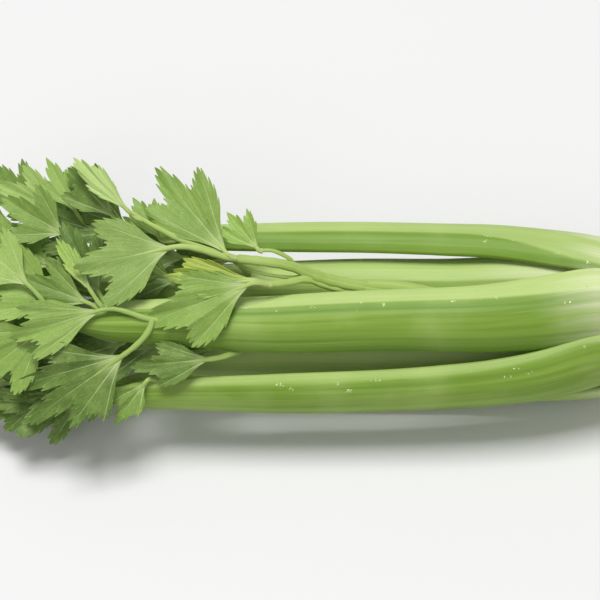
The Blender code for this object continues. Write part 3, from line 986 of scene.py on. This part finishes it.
@dataclass
class Stem:
    """One ribbed stalk with its branches and leaflets."""

    node: str
    foot_angle: float
    foot_radius: float
    path: tuple[Place, ...]
    face: float
    width: float
    thickness: float
    foot: Foot = Foot.CUT
    top_share: float = 0.59
    rests: bool = False
    pale: float = 0.0
    foot_end: float = 0.050  # metres from the cut where the skin has turned green
    young: bool = False
    ridges: Pairs = ((-0.74, 0.20), (-0.40, 0.28), (0.0, 0.34), (0.78, 0.16))
    crest: tuple[float, float] = (0.42, 0.42)  # where the sharpest ridge runs, along the stalk and at its foot
    crest_height: float = 0.5
    painted_light_and_shade: float = 0.25  # how much painted light lies on its upper side above the crest, and painted shade under the crest and on its lower side
    overrun: float = 0.010
    taper: float = 0.026
    beads: int = 0
    branches: list[Branch] = field(default_factory=list)
    leaves: list[Leaflet] = field(default_factory=list)
    rings: int = 110
    outer: int = 105
    inner: int = 33

    def centre(self, x: float) -> Vector:
        """The centre line's place at x."""
        angle = math.radians(self.foot_angle)
        foot = Sight.point(x, CROWN_UP, 0) + self.foot_radius * Vector((0, math.cos(angle), math.sin(angle)))
        up = smooth_through(tuple((place[0], place[1]) for place in self.path), x)
        near = smooth_through(tuple((place[0], place[2]) for place in self.path), x)
        return Sight.point(x, up, near).lerp(foot, smooth_through(FOOT_PULL, x))

    def size(self, x: float) -> tuple[float, float, float]:
        """Width, thickness and the half angle of the section's arc at x."""
        top = self.path[0][0]
        shares = OUTER_WIDTHS if self.foot_radius > 0.012 else INNER_WIDTHS
        widths = ((top, self.top_share),) + shares[1 if top > -0.03 else 0:]
        left = min(max((x - top + self.overrun) / self.taper, 0.0), 1.0)
        ease = left * left * (3 - 2 * left)
        return (
            self.width * smooth_through(widths, x) * (0.28 + 0.72 * ease),
            self.thickness * smooth_through(((top, 0.90),) + THICKNESSES, x) * (0.48 + 0.52 * ease),
            smooth_through(((top, 0.62),) + BENDS, x),
        )

    def crest_at(self, x: float) -> float:
        """Where the sharpest ridge is across the section at x."""
        return smooth_through(((0.045, self.crest[0]), (0.075, self.crest[0]), (0.125, self.crest[1])), x)

    def relief(self, s: np.ndarray, x: float, chance: np.ndarray) -> np.ndarray:
        """How far the ridges stand out at places across the outer side.

        Args:
            s: places across, -1 to 1.
            x: the section's place along the head.
            chance: the stalk's seeded numbers.

        Returns:
            Heights in metres.
        """
        stations, heights = [-1.0], [0.0]
        for number, (at, height) in enumerate(sorted((*self.ridges, (self.crest_at(x), self.crest_height)))):
            at += 0.030 * math.sin(x * 17 + chance[number] * 6) + 0.04 * (chance[number + 6] - 0.5)
            if number:
                stations.append((stations[-1] + at) / 2 + 0.05 * (chance[number] - 0.5))
                heights.append(0.0)
            stations.append(at)
            heights.append(height * (0.85 + 0.35 * math.sin(x * 24 + chance[number + 5] * 6)))
        stations.append(1.0)
        heights.append(0.0)
        sharp = np.interp(s, stations, heights)
        reach = 0.035
        soft = (np.interp(s - reach, stations, heights) + np.interp(s + reach, stations, heights) + 2 * sharp) / 4
        fine = 0.035 * np.sin(s * 31 + chance[3] * 6) + 0.030 * np.sin(s * 47 + x * 9 + chance[4] * 6)
        foot = 1 - 0.4 * smooth_through(FOOT_PULL, x)
        return 0.00088 * (soft + fine * (1 - s ** 6)) * foot

    def section(self, x: float, chance: np.ndarray) -> tuple[np.ndarray, np.ndarray]:
        """The stalk's section at x.

        Args:
            x: its place along the head.
            chance: the stalk's seeded numbers.

        Returns:
            (across, outward) points once round, and the map's across value.
        """
        width, thick, bend = self.size(x)
        radius = width / (2 * math.sin(bend))
        depth = radius * (1 - math.cos(bend))
        s = np.linspace(-1, 1, self.outer)
        half = thick / 2 * (1 - 0.58 * s * s)
        rise = half + self.relief(s, x, chance) * min(1.0, width / self.width / 0.5)
        outer = np.stack([(radius + rise) * np.sin(s * bend), (radius + rise) * np.cos(s * bend)], -1)
        q = np.linspace(1, -1, self.inner)
        lower = thick / 2 * (1 - 0.58 * q * q) + 0.00010 * np.sin(q * 22 + chance[4] * 6)
        inner = np.stack([(radius - lower) * np.sin(q * bend), (radius - lower) * np.cos(q * bend)], -1)
        turns = np.linspace(0, math.pi, 8)[1:-1]
        thin = thick / 2 * 0.42
        rims = []
        for sign in (1, -1):
            middle = radius * np.array([math.sin(sign * bend), math.cos(bend)])
            out = np.array([math.sin(sign * bend), math.cos(bend)])
            side = np.array([sign * math.cos(bend), -math.sin(bend)])
            order = turns if sign > 0 else turns[::-1]
            rims.append(middle + thin * (np.cos(order)[:, None] * out + 0.8 * np.sin(order)[:, None] * side))
        points = np.concatenate([outer, rims[0], inner, rims[1]])
        points[:, 1] += depth / 2 - radius
        arc = self.width / 2
        u = np.concatenate([s * arc, arc + turns * 0.001, 0.1 + q * arc, -arc - turns[::-1] * 0.001])
        return points, u

    def frame_at(self, x: float) -> tuple[Vector, Vector, Vector, Vector]:
        """Centre, tangent, across and outward at x."""
        tangent = (self.centre(x - 0.002) - self.centre(x + 0.002)).normalized()
        pull = smooth_through(FOOT_PULL, x)
        angle = math.radians(self.face + pull * (self.foot_angle + FOOT_TILT - self.face))
        outward = Vector((0, math.cos(angle), math.sin(angle)))
        outward = (outward - tangent * outward.dot(tangent)).normalized()
        return self.centre(x), tangent, tangent.cross(outward), outward

    def skin(self, parts: MeshParts, seed: int) -> None:
        """Adds the stalk's ribbed skin, its cut foot and the beads on it.

        Args:
            parts: what they are added to.
            seed: the stalk's own number.
        """
        chance = np.random.default_rng(seed).random(20)
        top, foot_x = self.path[0][0] - self.overrun, float(self.foot.value)
        rows, marks, pale_and_painted_light_rows = [], [], []
        s = np.linspace(-1, 1, self.outer)
        for share in np.linspace(0, 1, self.rings) ** 1.1:
            x = foot_x + share * (top - foot_x)
            centre, tangent, across, outward = self.frame_at(x)
            points, u = self.section(x, chance)
            sway = 0.0004 * math.sin(x * 55 + chance[5] * 6) * (1 - abs(smooth_through(FOOT_PULL, x)))
            ring = (
                np.array(centre) + np.array(across) * (points[:, :1] + sway) + np.array(outward) * points[:, 1:]
            )
            level = min(max(1 - (foot_x - x) / 0.016, 0.0), 1.0)
            ring = ring - np.array(tangent) * ((ring[:, :1] - x - Sight.offset.x) / tangent.x) * level
            if self.rests:
                ring[:, 2] = np.maximum(ring[:, 2], 0.00002)
            rows.append(ring)
            marks.append(np.stack([u, np.full(len(u), CUT_X - x)], -1))
            # Painted light and shade: the skin above the crest is painted paler, as light from above would make it,
            # and a band just under the crest and the lower side are painted darker, where shade falls. The inner face
            # gets a plain paleness of 0.3.
            above = s - self.crest_at(x)
            lit = np.clip((above - 0.01) / 0.07, 0, 1) * self.painted_light_and_shade
            shade = np.clip(1 - np.abs(above + 0.16) / 0.17, 0, 1) + 0.75 * np.clip((-0.1 - s) / 0.6, 0, 1)
            shade = np.minimum(shade, 1) * self.painted_light_and_shade
            spread = [np.full(6, lit[-1]), np.full(self.inner, 0.3), np.zeros(6)]
            pale_and_painted_light_rows.append(np.stack([np.concatenate([lit, *spread]), np.concatenate([shade, np.zeros(self.inner + 12)])], -1))
        tone = (float(seed % 17) * 0.37, self.pale, self.foot_end)
        rings, uv = np.stack(rows), np.stack(marks)
        # These painted light and painted shade numbers travel to the material in the "vein" attribute.
        pale = np.pad(np.stack(pale_and_painted_light_rows), ((0, 0), (0, 0), (0, 1)))
        parts.grid(rings, uv, 0, tone, closed=True, veins=pale)
        middle = rings[-1].mean(axis=0)
        dome = np.stack([
            rings[-1], middle + (rings[-1] - middle) * 0.6 - [0.0006, 0, 0],
            np.repeat(middle[None] - [0.0009, 0, 0], rings.shape[1], 0),
        ])
        parts.grid(dome, np.repeat(uv[-1][None], 3, 0), 0, tone, closed=True)
        self.cut_face(parts, rings[0])
        self.bead_drops(parts, rings, seed)

    def cut_face(self, parts: MeshParts, ring: np.ndarray) -> None:
        """Closes the foot with cut flesh.

        Args:
            parts: what it is added to.
            ring: the skin's first ring.
        """
        outer = ring[: self.outer]
        inner = ring[self.outer + 6: self.outer + 6 + self.inner][::-1]
        want = np.linspace(0, self.inner - 1, self.outer)
        low = np.stack([np.interp(want, np.arange(self.inner), inner[:, k]) for k in range(3)], -1)
        levels = np.linspace(0, 1, 7)[:, None, None]
        sheet = outer[None] * (1 - levels) + low[None] * levels
        sheet = sheet + np.sin(np.pi * levels) * 0.00015 * np.array([1.0, 0, 0]) * (self.foot is Foot.CUT)
        u = np.broadcast_to(np.linspace(0, 1, self.outer)[None, :], (7, self.outer))
        depth = np.broadcast_to(np.abs(levels[..., 0] * 2 - 1), (7, self.outer))
        parts.grid(sheet, np.stack([u, depth], -1), 1, (0, 0, 0), flip=True)

    def bead_drops(self, parts: MeshParts, rings: np.ndarray, seed: int) -> None:
        """Adds small flat beads of water, most of them near the ridge that faces up.

        Args:
            parts: what they are added to.
            rings: the skin's rings.
            seed: the stalk's own number.
        """
        chance = random.Random(seed)
        turns = np.linspace(0, math.tau, 9, endpoint=False)
        for _ in range(self.beads):
            row = int(chance.uniform(0.16, 0.80) * self.rings)
            x = float(rings[row, :, 0].mean()) - Sight.offset.x
            column = int(((self.crest_at(x) + 1) / 2 + chance.gauss(-0.01, 0.06)) * self.outer)
            column = min(max(column, 8), self.outer - 8)
            point = rings[row, column]
            along = rings[row + 1, column] - rings[row - 1, column]
            aside = rings[row, column + 2] - rings[row, column - 2]
            along, aside = along / np.linalg.norm(along), aside / np.linalg.norm(aside)
            out = np.cross(along, aside)
            out *= math.copysign(1.0, float(out @ (point - rings[row].mean(axis=0))))
            for _ in range(chance.choice((1, 2, 3, 4))):
                size = chance.uniform(0.00018, 0.00040)
                turn, long = chance.uniform(0, math.pi), chance.uniform(1.2, 3.0)
                shape = size * (1 + 0.28 * np.sin(turns * 2 + chance.uniform(0, 6)) * np.cos(turns * 3))
                flat = np.stack([np.cos(turns) * long * shape, np.sin(turns) * shape], -1)
                flat[:, 1] += chance.uniform(-0.5, 0.5) * flat[:, 0] ** 2 / size
                flat = flat @ np.array([[math.cos(turn), math.sin(turn)], [-math.sin(turn), math.cos(turn)]])
                spot = point + along * chance.uniform(-1, 1) * 0.0016 + aside * chance.uniform(-1, 1) * 0.0006
                levels = ((1.05, -0.25), (0.95, 0.10), (0.60, 0.32), (0.05, 0.40))
                dome = np.stack([
                    spot + (flat[:, :1] * along + flat[:, 1:] * aside) * wide + out * size * high
                    for wide, high in levels
                ])
                facing = float(np.cross(along, aside) @ out) > 0
                parts.grid(dome, np.zeros((4, 9, 2)), 2, closed=True, flip=not facing)

    def build(self, seed: int) -> None:
        """Makes the stalk, its branches and its leaflets, and sets them in place of the solid."""
        skin = Finishes.young if self.young else Finishes.skin
        parts = MeshParts()
        self.skin(parts, seed)
        stalk = parts.make(self.node + "_skin", [skin, Finishes.flesh, Finishes.bead])
        branches, blades = MeshParts(), MeshParts()
        for number, branch in enumerate(self.branches):
            points = [Sight.point(*place) for place in branch.places]
            radii = np.linspace(branch.start, branch.end, len(points))
            radii[0] *= 0.55
            LeafStalk(points, list(radii), (seed * 0.3 + number, 0.12, 0.001), 18).add_to(branches)
        for number, leaf in enumerate(self.leaves):
            blade = Blade(leaf)
            ahead = leaf.axes()[0]
            start, root = Sight.point(*leaf.start), Sight.point(*leaf.root)
            points = hermite(start, root, Sight.way(*leaf.leave), ahead, 7)
            surface = blade.surface()[0]
            middle = int(np.argmin(np.abs(blade.outline(random.Random(leaf.seed))[:, 0])))
            for ring in (3, 6, 9, 12):
                points.append(Vector(surface[ring, middle]) - leaf.axes()[2] * 0.0004)
            radii = np.interp(np.arange(len(points)), [0, 6, 8, len(points) - 1], [0.00135, 0.0010, 0.0007, 0.0003])
            LeafStalk(points, list(radii * leaf.stalk), (seed * 0.3 + number, 0.30, 0.001)).add_to(branches)
            blade.add_to(blades)
        pieces = [stalk]
        if self.leaves:
            pieces.append(branches.make(self.node + "_leaf_stalks", [skin]))
            pieces.append(blades.make(self.node + "_leaflets", [Finishes.upper, Finishes.lower]))
        for piece in pieces:
            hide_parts(self.node)
        LOG.info("%s: %d pieces, %d leaflets", self.node, len(pieces), len(self.leaves))


@dataclass
class Crown:
    """The short core that the stalks stand round, with its cut face."""

    node: str = "crown"
    sides: int = 96
    profile: Pairs = (
        (0.0, CUT_X - 0.0004), (0.0060, CUT_X - 0.0002), (0.0112, CUT_X), (0.0128, 0.1770), (0.0150, 0.170),
        (0.0165, 0.162), (0.0155, CROWN_TOP_X + 0.0005), (0.0140, CROWN_TOP_X), (0.0, CROWN_TOP_X),
    )

    def build(self) -> None:
        """Makes the crown and sets it in place of the solid."""
        middle = Sight.point(0, CROWN_UP, 0)
        angles = np.linspace(0, math.tau, self.sides, endpoint=False)
        wavy = 1 + 0.012 * np.sin(angles * 5 + 0.4) + 0.008 * np.sin(angles * 11)
        rows, marks = [], []
        for radius, x in self.profile:
            rows.append(np.stack([
                np.full(self.sides, x + middle.x),
                middle.y + radius * wavy * np.cos(angles),
                middle.z + radius * wavy * np.sin(angles),
            ], -1))
            marks.append(np.stack([angles * 0.015, np.full(self.sides, radius / 0.0165)], -1))
        parts = MeshParts()
        parts.grid(np.stack(rows), np.stack(marks), 0, closed=True, flip=True)
        piece = parts.make("crown_core", [Finishes.flesh])
        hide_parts(self.node)
        LOG.info("crown: 1 piece")


class Head:
    """The whole head: its crown and its stems."""

    def outer_stems(self) -> list[Stem]:
        """The stems whose stalks make the outer ring."""
        back = Stem(
            "stalk_back", 58, 0.0200, (mm(-92, 35.7, 0), mm(20, 36, 2.5), mm(90, 35, 3), mm(135, 35.6, 4)),
            48, 0.0217, 0.0085, foot_end=0.046, ridges=((-0.2, 0.22), (0.2, 0.3), (0.6, 0.25)), beads=8,
            crest=(-0.50, -0.86), painted_light_and_shade=0.5,
        )
        back.branches, back.leaves = spray(mm(-88, 36, 0), mm(-126, 42, -2), 0.036, 13, 36, tilt=6)
        back.leaves += [
            Leaflet(mm(-84, 37, 2), mm(-101, 47, 13), 119, 0.028, 0.66, curl=10, tone=0.9, faint=0.10, seed=16),
            Leaflet(mm(-86, 36, 4), mm(-108, 48, 10), 158, 0.033, 0.85, curl=10, tone=1.0, faint=0.2, seed=17),
            Leaflet(mm(-86, 36, 4), mm(-106, 37, 16), 150, 0.034, 0.9, curl=10, tone=0.5, seed=18),
            Leaflet(mm(-80, 36, 4), mm(-84, 45, 20), 133, 0.032, 0.75, curl=12, tone=0.1, seed=19),
            Leaflet(mm(-78, 36, 4), mm(-88, 37.5, 11), 163, 0.036, 0.95, curl=6, tone=0.0, seed=29),
            Leaflet(mm(-70, 36, 6), mm(-77, 39.5, 13), 158, 0.034, 0.9, curl=6, tone=0.02, seed=32),
        ]
        front = Stem(
            "stalk_front", 108, 0.0200,
            (
                mm(-91, -2.7, 30), mm(-67, -2, 31), mm(-9, -3, 31.8), mm(48, -1.2, 31.8), mm(90, 0.4, 32),
                mm(112, 2.4, 32), mm(135, 6.2, 32),
            ),
            118, 0.0245, 0.0086, foot_end=0.057,
            ridges=((-0.74, 0.30), (-0.46, 0.20), (-0.16, 0.26), (0.14, 0.28), (0.80, 0.12)), beads=13,
            crest=(0.44, 0.34), painted_light_and_shade=0.7,
            overrun=0.016,
        )
        front.branches = [Branch([mm(-88, -2.5, 30), mm(-98, -2, 29.5), mm(-110, 0, 29), mm(-122, 3, 28)], 0.0027, 0.0012)]
        front.leaves = [
            Leaflet(mm(-62, -1.6, 36.0), mm(-88.2, 3.2, 37.5), 197, 0.047, 0.58, curl=14, tone=0.75, faint=0.06, seed=7),
            Leaflet(mm(-82, 0, 31), mm(-94.5, 6.3, 31), 160, 0.034, 0.75, curl=10, tone=0.35, seed=8),
            Leaflet(
                mm(-82, 1, 31.5), mm(-92.7, 10.8, 32.5), 124, 0.032, 0.36, pitch=-3, fold=24, tone=1.0, ripe=0.40, seed=9,
                lobes=lobes(0.72, 1.0, 0.60),
            ),
            Leaflet(
                mm(-65.6, -0.6, 36.5), mm(-78.3, -16.7, 37), 215, 0.0565, 0.94, pitch=-6, curl=10, tone=0.04, seed=10,
                leave=(-0.05, -1, 0.2), stalk=1.15, lobes=lobes(0.76, 0.92, 1.0, 0.74, 0.56),
            ),
            Leaflet(mm(-84, 0, 30), mm(-108, 7, 29), 160, 0.044, 0.9, curl=12, tone=0.9, seed=11),
            Leaflet(mm(-84, -2, 30), mm(-114, -5, 29), 216, 0.042, 0.9, curl=12, tone=0.7, seed=12),
            Leaflet(mm(-80, 2, 28), mm(-90, 11, 27), 118, 0.036, 0.95, curl=10, tone=0.0, seed=20),
            Leaflet(mm(-104, 0, 28), mm(-121, 14, 31), 140, 0.036, 0.8, curl=14, tone=1.0, faint=0.12, seed=21),
            Leaflet(mm(-76, -8, 24), mm(-80, -12, 22), 196, 0.034, 0.95, curl=10, tone=0.0, seed=25),
            Leaflet(mm(-60, -11, 22), mm(-66, -13.5, 19), 188, 0.036, 0.8, curl=8, tone=0.0, seed=26),
        ]
        low = Stem(
            "stalk_low_front", 160, 0.0200,
            (
                mm(-82, -35.3, 20), mm(-9, -35.1, 20.6), mm(63, -33, 20.6), mm(90, -30.9, 21),
                mm(112, -28.8, 22.3), mm(135, -23.4, 24),
            ),
            172, 0.0235, 0.0086, foot_end=0.036,
            ridges=((-0.76, 0.2), (-0.40, 0.28), (-0.02, 0.28), (0.34, 0.30)), beads=12, crest=(0.78, 0.90),
            painted_light_and_shade=0.30,
        )
        low.branches, low.leaves = spray(mm(-78, -34, 20), mm(-126, -30, 16), 0.034, 11, 28, tilt=-14, tone=-0.2)
        low.leaves += [
            Leaflet(mm(-88, -33, 17), mm(-97, -28, 19), 186, 0.042, 0.95, curl=10, tone=0.0, seed=30),
            Leaflet(mm(-94, -34, 15), mm(-103, -35.5, 16), 186, 0.038, 0.95, curl=10, tone=0.02, seed=31),
            Leaflet(mm(-58, -30, 23.5), mm(-68.9, -29, 31), 234, 0.0245, 0.72, curl=10, tone=0.45, seed=13,
                    lobes=lobes(0.84, 1.0, 0.62)),
        ]
        under = Stem(
            "stalk_under_front", 222, 0.0200,
            (mm(-80, -30.9, -11.5), mm(60, -30.9, -11.5), mm(135, -30.9, -11.5)),
            246, 0.0235, 0.0084, rests=True,
        )
        under.branches, under.leaves = spray(
            mm(-76, -30, -11), mm(-124, -32, -6), 0.035, 15, 30, tilt=-42, tone=-0.1
        )
        under_back = Stem(
            "stalk_under_back", 294, 0.0200, (mm(-80, 5.5, -32.5), mm(60, 5.5, -32.5), mm(135, 5.5, -32.5)),
            298, 0.0235, 0.0084, rests=True,
        )
        under_back.branches, under_back.leaves = spray(
            mm(-76, 6, -32), mm(-128, 18, -34), 0.038, 16, spread=36, tilt=62
        )
        far = Stem(
            "stalk_far", 358, 0.0200, (mm(-85, 16.8, -18.9), mm(60, 16.8, -18.9), mm(135, 20, -18)),
            345, 0.0180, 0.0070, pale=0.1, ridges=((-0.6, 0.3), (-0.1, 0.3)),
        )
        far.branches, far.leaves = spray(mm(-81, 17, -19), mm(-126, 22, -17), 0.036, 18, tilt=58)
        return [back, front, low, under, under_back, far]

    def inner_stems(self) -> list[Stem]:
        """The stems whose stalks stand on the crown."""
        back = Stem(
            "inner_stalk_back", 44, 0.0092, (mm(-98, 15, 8), mm(20, 16, 7), mm(75, 16.6, 8), mm(100, 18, 11), mm(125, 19, 13)),
            100, 0.0200, 0.0070, Foot.CROWN, pale=0.28, foot_end=0.085, ridges=((-0.5, 0.2), (0.3, 0.12)), crest=(-0.14, -0.14),
            crest_height=0.32, painted_light_and_shade=0.32,
        )
        back.branches, back.leaves = spray(mm(-94, 15, 8), mm(-134, 18, 15), 0.034, 14, 36)
        # A dark leaflet laid where there is shade between the stalks; its tone of 0 paints that shade.
        back.leaves.append(
            Leaflet(mm(-46, 15, 13), mm(-56, 16, 17), 172, 0.026, 0.9, curl=6, tone=0.0, seed=22)
        )
        # Two leaflets that close the gap between the stalks; their low tone also paints the shade in that gap.
        back.leaves += [
            Leaflet(mm(-22, 20, 13), mm(-31, 25.5, 15), 180, 0.036, 0.62, curl=6, tone=0.0, seed=27),
            Leaflet(mm(-44, 21, 13), mm(-52, 26.8, 16), 176, 0.042, 0.8, curl=6, tone=0.05, seed=28),
        ]
        # Its pale of 0.7 is painted light: it lightens this stalk, which lies in shade between the front stalks, in
        # place of light that does not reach it.
        front = Stem(
            "inner_stalk_front", 180, 0.0092, (mm(-70, -19.4, 8), mm(20, -19.4, 8), mm(120, -18, 8)),
            150, 0.0190, 0.0068, Foot.CROWN, pale=0.7, foot_end=0.03,
            ridges=((-0.6, 0.2), (-0.2, 0.2), (0.1, 0.2)), crest=(0.55, 0.55), crest_height=0.3, painted_light_and_shade=0.1,
        )
        front.branches, front.leaves = spray(
            mm(-66, -19, 8), mm(-112, -21, 7), 0.033, 12, 34, places=SPRAY_PLACES[1::2] + SPRAY_PLACES[-1:]
        )
        front.leaves += [
            Leaflet(
                mm(-18, -11, 20), mm(-39.6, -18.6, 34), 186, 0.0365, 0.66, curl=8, fold=8, tone=0.16, seed=14,
                leave=(-0.9, -0.35, 0.3), stalk=1.2, lobes=lobes(0.72, 1.0, 0.70),
            ),
            Leaflet(mm(-18, -14, 11), mm(-33, -13, 24), 181, 0.025, 0.38, curl=6, tone=0.9, ripe=0.4, seed=15),
        ]
        under = Stem(
            "inner_stalk_under", 262, 0.0092, (mm(-85, -7.5, -13), mm(20, -7.5, -13), mm(120, -7.5, -13)),
            268, 0.0190, 0.0064, Foot.CROWN, pale=0.2,
        )
        under.branches, under.leaves = spray(
            mm(-81, -7, -13), mm(-128, -9, -17), 0.034, 17, tilt=24, places=SPRAY_PLACES[::2]
        )
        heart = Stem(
            "heart_stalk", 330, 0.0035, (mm(-95, 1, -1), mm(20, 1, -1), mm(120, 1, -2)),
            60, 0.0110, 0.0070, Foot.CROWN, 0.7, pale=0.3, young=True, ridges=((-0.3, 0.2),), crest_height=0.2,
        )
        heart.branches, heart.leaves = spray(
            mm(-90, 1, -1), mm(-134, 0, -4), 0.028, 19, 26, places=SPRAY_PLACES[2:]
        )
        return [back, front, under, heart]

    def forked_stem(self) -> Stem:
        """The young stem that divides in two, with its leaf stalks spread over the others."""
        fork = Stem(
            "inner_stalk_fork", 112, 0.0092,
            (mm(5, 17.0, 24), mm(18, 14.3, 22.4), mm(45, 9.8, 20), mm(60, 7, 18.5), mm(120, 5, 17)),
            110, 0.0096, 0.0066, Foot.CROWN, 0.70, young=True, ridges=((-0.4, 0.12),), crest=(0.3, 0.3),
            crest_height=0.2, overrun=0.0, taper=0.048,
        )
        fork.branches = [
            Branch([mm(58, 7.6, 19.0), mm(44, 10.4, 20.6), mm(31, 12.8, 22.0), mm(20, 15.0, 23.4), mm(12, 16.9, 24.8),
                    mm(4.5, 19.4, 26.8), mm(-4.5, 22.9, 29.5), mm(-16.7, 24.9, 31),
                    mm(-30, 26.3, 32)], 0.0035, 0.0020),
            Branch([mm(-25, 25.8, 31.7), mm(-41.9, 30.2, 32), mm(-52.7, 34.2, 31.5), mm(-63, 39.4, 30.5),
                    mm(-69.8, 43.2, 29.5), mm(-76.5, 47.4, 28.8)], 0.0016, 0.0010),
            Branch([mm(50, 7.6, 19.4), mm(36, 9.6, 21.0), mm(22, 12.2, 22.8), mm(12.5, 14.4, 24.4),
                    mm(6.5, 16.5, 26.2), mm(2.0, 17.0, 28.4), mm(-2.5, 16.1, 31.5), mm(-7.5, 15.2, 34.4),
                    mm(-13.5, 14.8, 37.2), mm(-20.6, 16.2, 39.6)], 0.0028, 0.0012),
            Branch([mm(-2.0, 22.6, 29.0), mm(-4.6, 26.0, 30.2), mm(-9.2, 28.6, 31.2), mm(-13.2, 29.8, 31.8),
                    mm(-17.6, 29.7, 32)], 0.0011, 0.0008),
            Branch([mm(10, 17.0, 25.0), mm(4, 18.2, 26.0), mm(-5.4, 17.8, 27.2), mm(-18, 19.8, 28), mm(-29, 23.6, 28.6)], 0.0010, 0.0007),
        ]
        fork.leaves = [
            Leaflet(mm(-70, 43.4, 29.5), mm(-76.5, 47.2, 28.6), 136, 0.0355, 0.38, fold=18, tone=1.0, faint=0.38, seed=1,
                    lobes=lobes(0.70, 1.0, 0.68)),
            Leaflet(mm(-27, 26.0, 32.2), mm(-57, 31.0, 37), 192, 0.0465, 0.88, roll=6, curl=4, fold=9, tone=0.55, faint=0.08, seed=2,
                    stalk=1.25, lobes=lobes(0.84, 1.0, 0.83)),
            Leaflet(mm(-26, 26.0, 32), mm(-32.5, 28.2, 33.8), 130, 0.0525, 0.64, pitch=-8, curl=12, tone=0.58, seed=3,
                    lobes=lobes(0.80, 0.98, 0.78)),
            Leaflet(mm(-16.6, 29.5, 31.9), mm(-18.6, 30.1, 32.1), 130, 0.0225, 0.74, fold=20, tone=0.9, ripe=0.3, seed=4,
                    leave=(-1, 0.1, 0), lobes=lobes(0.88, 1.0, 0.98)),
            Leaflet(mm(-14, 14.6, 38), mm(-21, 16.6, 38.5), 177, 0.040, 0.44, curl=8, fold=20, tone=0.9, ripe=0.75, seed=5),
            Leaflet(mm(-14, 14.6, 38), mm(-22, 16.0, 40.5), 184, 0.030, 0.42, curl=4, fold=16, tone=1.0, seed=23),
            Leaflet(mm(-12, 14.4, 37.2), mm(-22, 14.8, 41), 201, 0.0525, 0.80, pitch=1, curl=6, fold=4, tone=0.7, seed=6,
                    lobes=lobes(0.62, 1.0, 0.74)),
            Leaflet(mm(-55, 34.5, 30), mm(-63, 35.5, 24), 124, 0.0235, 0.8, curl=10, tone=0.7, seed=24),
        ]
        return fork

    def build(self) -> None:
        """Builds the crown and every stem."""
        Crown().build()
        for number, stem in enumerate([*self.outer_stems(), *self.inner_stems(), self.forked_stem()]):
            stem.build(31 + 7 * number)


@dataclass(frozen=True)
class Studio:
    """A pale floor, soft light and the camera."""

    floor_colour: Rgb = (0.74, 0.74, 0.738)
    lens: float = 180.0
    span: float = 0.270  # metres that the picture is wide at the head

    def floor(self) -> None:
        """Makes the floor."""
        parts = MeshParts()
        side = 3.0
        corners = np.array([[[-side, -side, 0], [side, -side, 0]], [[-side, side, 0], [side, side, 0]]], float)
        parts.grid(corners - [0, 0, 0.00005], np.zeros((2, 2, 2)))
        material, g, shader = new_surface("pale_floor", 0.55)
        place = g.add("ShaderNodeTexCoord").outputs["Object"]
        tint = g.mix(g.band(g.noise(place, 3.0, 2.0), 0.3, 0.7), self.floor_colour, (0.735, 0.735, 0.733))
        g.put(shader.inputs["Base Color"], tint)
        floor = parts.make("floor", [material])

    def lamp(self, name: str, place: Place, size: float, power: float) -> None:
        """Adds a square soft lamp that looks at the head.

        Args:
            name: its name.
            place: where it stands.
            size: its side in metres.
            power: its power in watts.
        """
        light = bpy.data.lights.new(name, "AREA")
        light.size = size
        light.energy = power
        lamp = bpy.data.objects.new(name, light)
        lamp.location = place
        lamp.rotation_euler = (Vector((0, 0, 0.03)) - Vector(place)).to_track_quat("-Z", "Y").to_euler()
        bpy.context.scene.collection.objects.link(lamp)

    def camera(self) -> None:
        """Sets the camera over the front of the head."""
        data = bpy.data.cameras.new("camera")
        data.lens = self.lens
        data.sensor_width = 36.0
        data.clip_end = 20.0
        target = Sight.point(0.0, 0.00765, 0.020)
        distance = self.span * self.lens / data.sensor_width
        eye = target + Sight.way(0, 0, 1) * distance
        camera = bpy.data.objects.new("camera", data)
        camera.location = eye
        camera.rotation_euler = (target - eye).to_track_quat("-Z", "Y").to_euler()
        bpy.context.scene.collection.objects.link(camera)
        bpy.context.scene.camera = camera

    def world(self) -> None:
        """Gives an even pale sky."""
        world = bpy.data.worlds.new("sky")
        world.use_nodes = True
        back = world.node_tree.nodes["Background"]
        back.inputs["Color"].default_value = (1.0, 1.0, 1.0, 1.0)
        back.inputs["Strength"].default_value = 0.32
        bpy.context.scene.world = world

    def build(self) -> None:
        """Builds floor, lamps, sky and camera."""
        self.floor()
        self.lamp("top_lamp", (-0.30, 1.30, 5.77), 2.4, 294.0)
        self.lamp("fill_lamp", (-1.4, -3.0, 3.6), 2.6, 32.0)
        self.world()
        self.camera()
        bpy.context.scene.view_settings.view_transform = "Standard"


def write_sizes() -> None:
    """Updates the view layer so that every piece's place is current."""
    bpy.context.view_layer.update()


def main() -> None:
    """Builds the head and the studio."""
    logging.basicConfig(level=logging.INFO, format="%(message)s")
    Sight.settle()
    Effects.build()
    Finishes.build()
    Head().build()
    Studio().build()
    write_sizes()


if __name__ == "__main__":
    main()
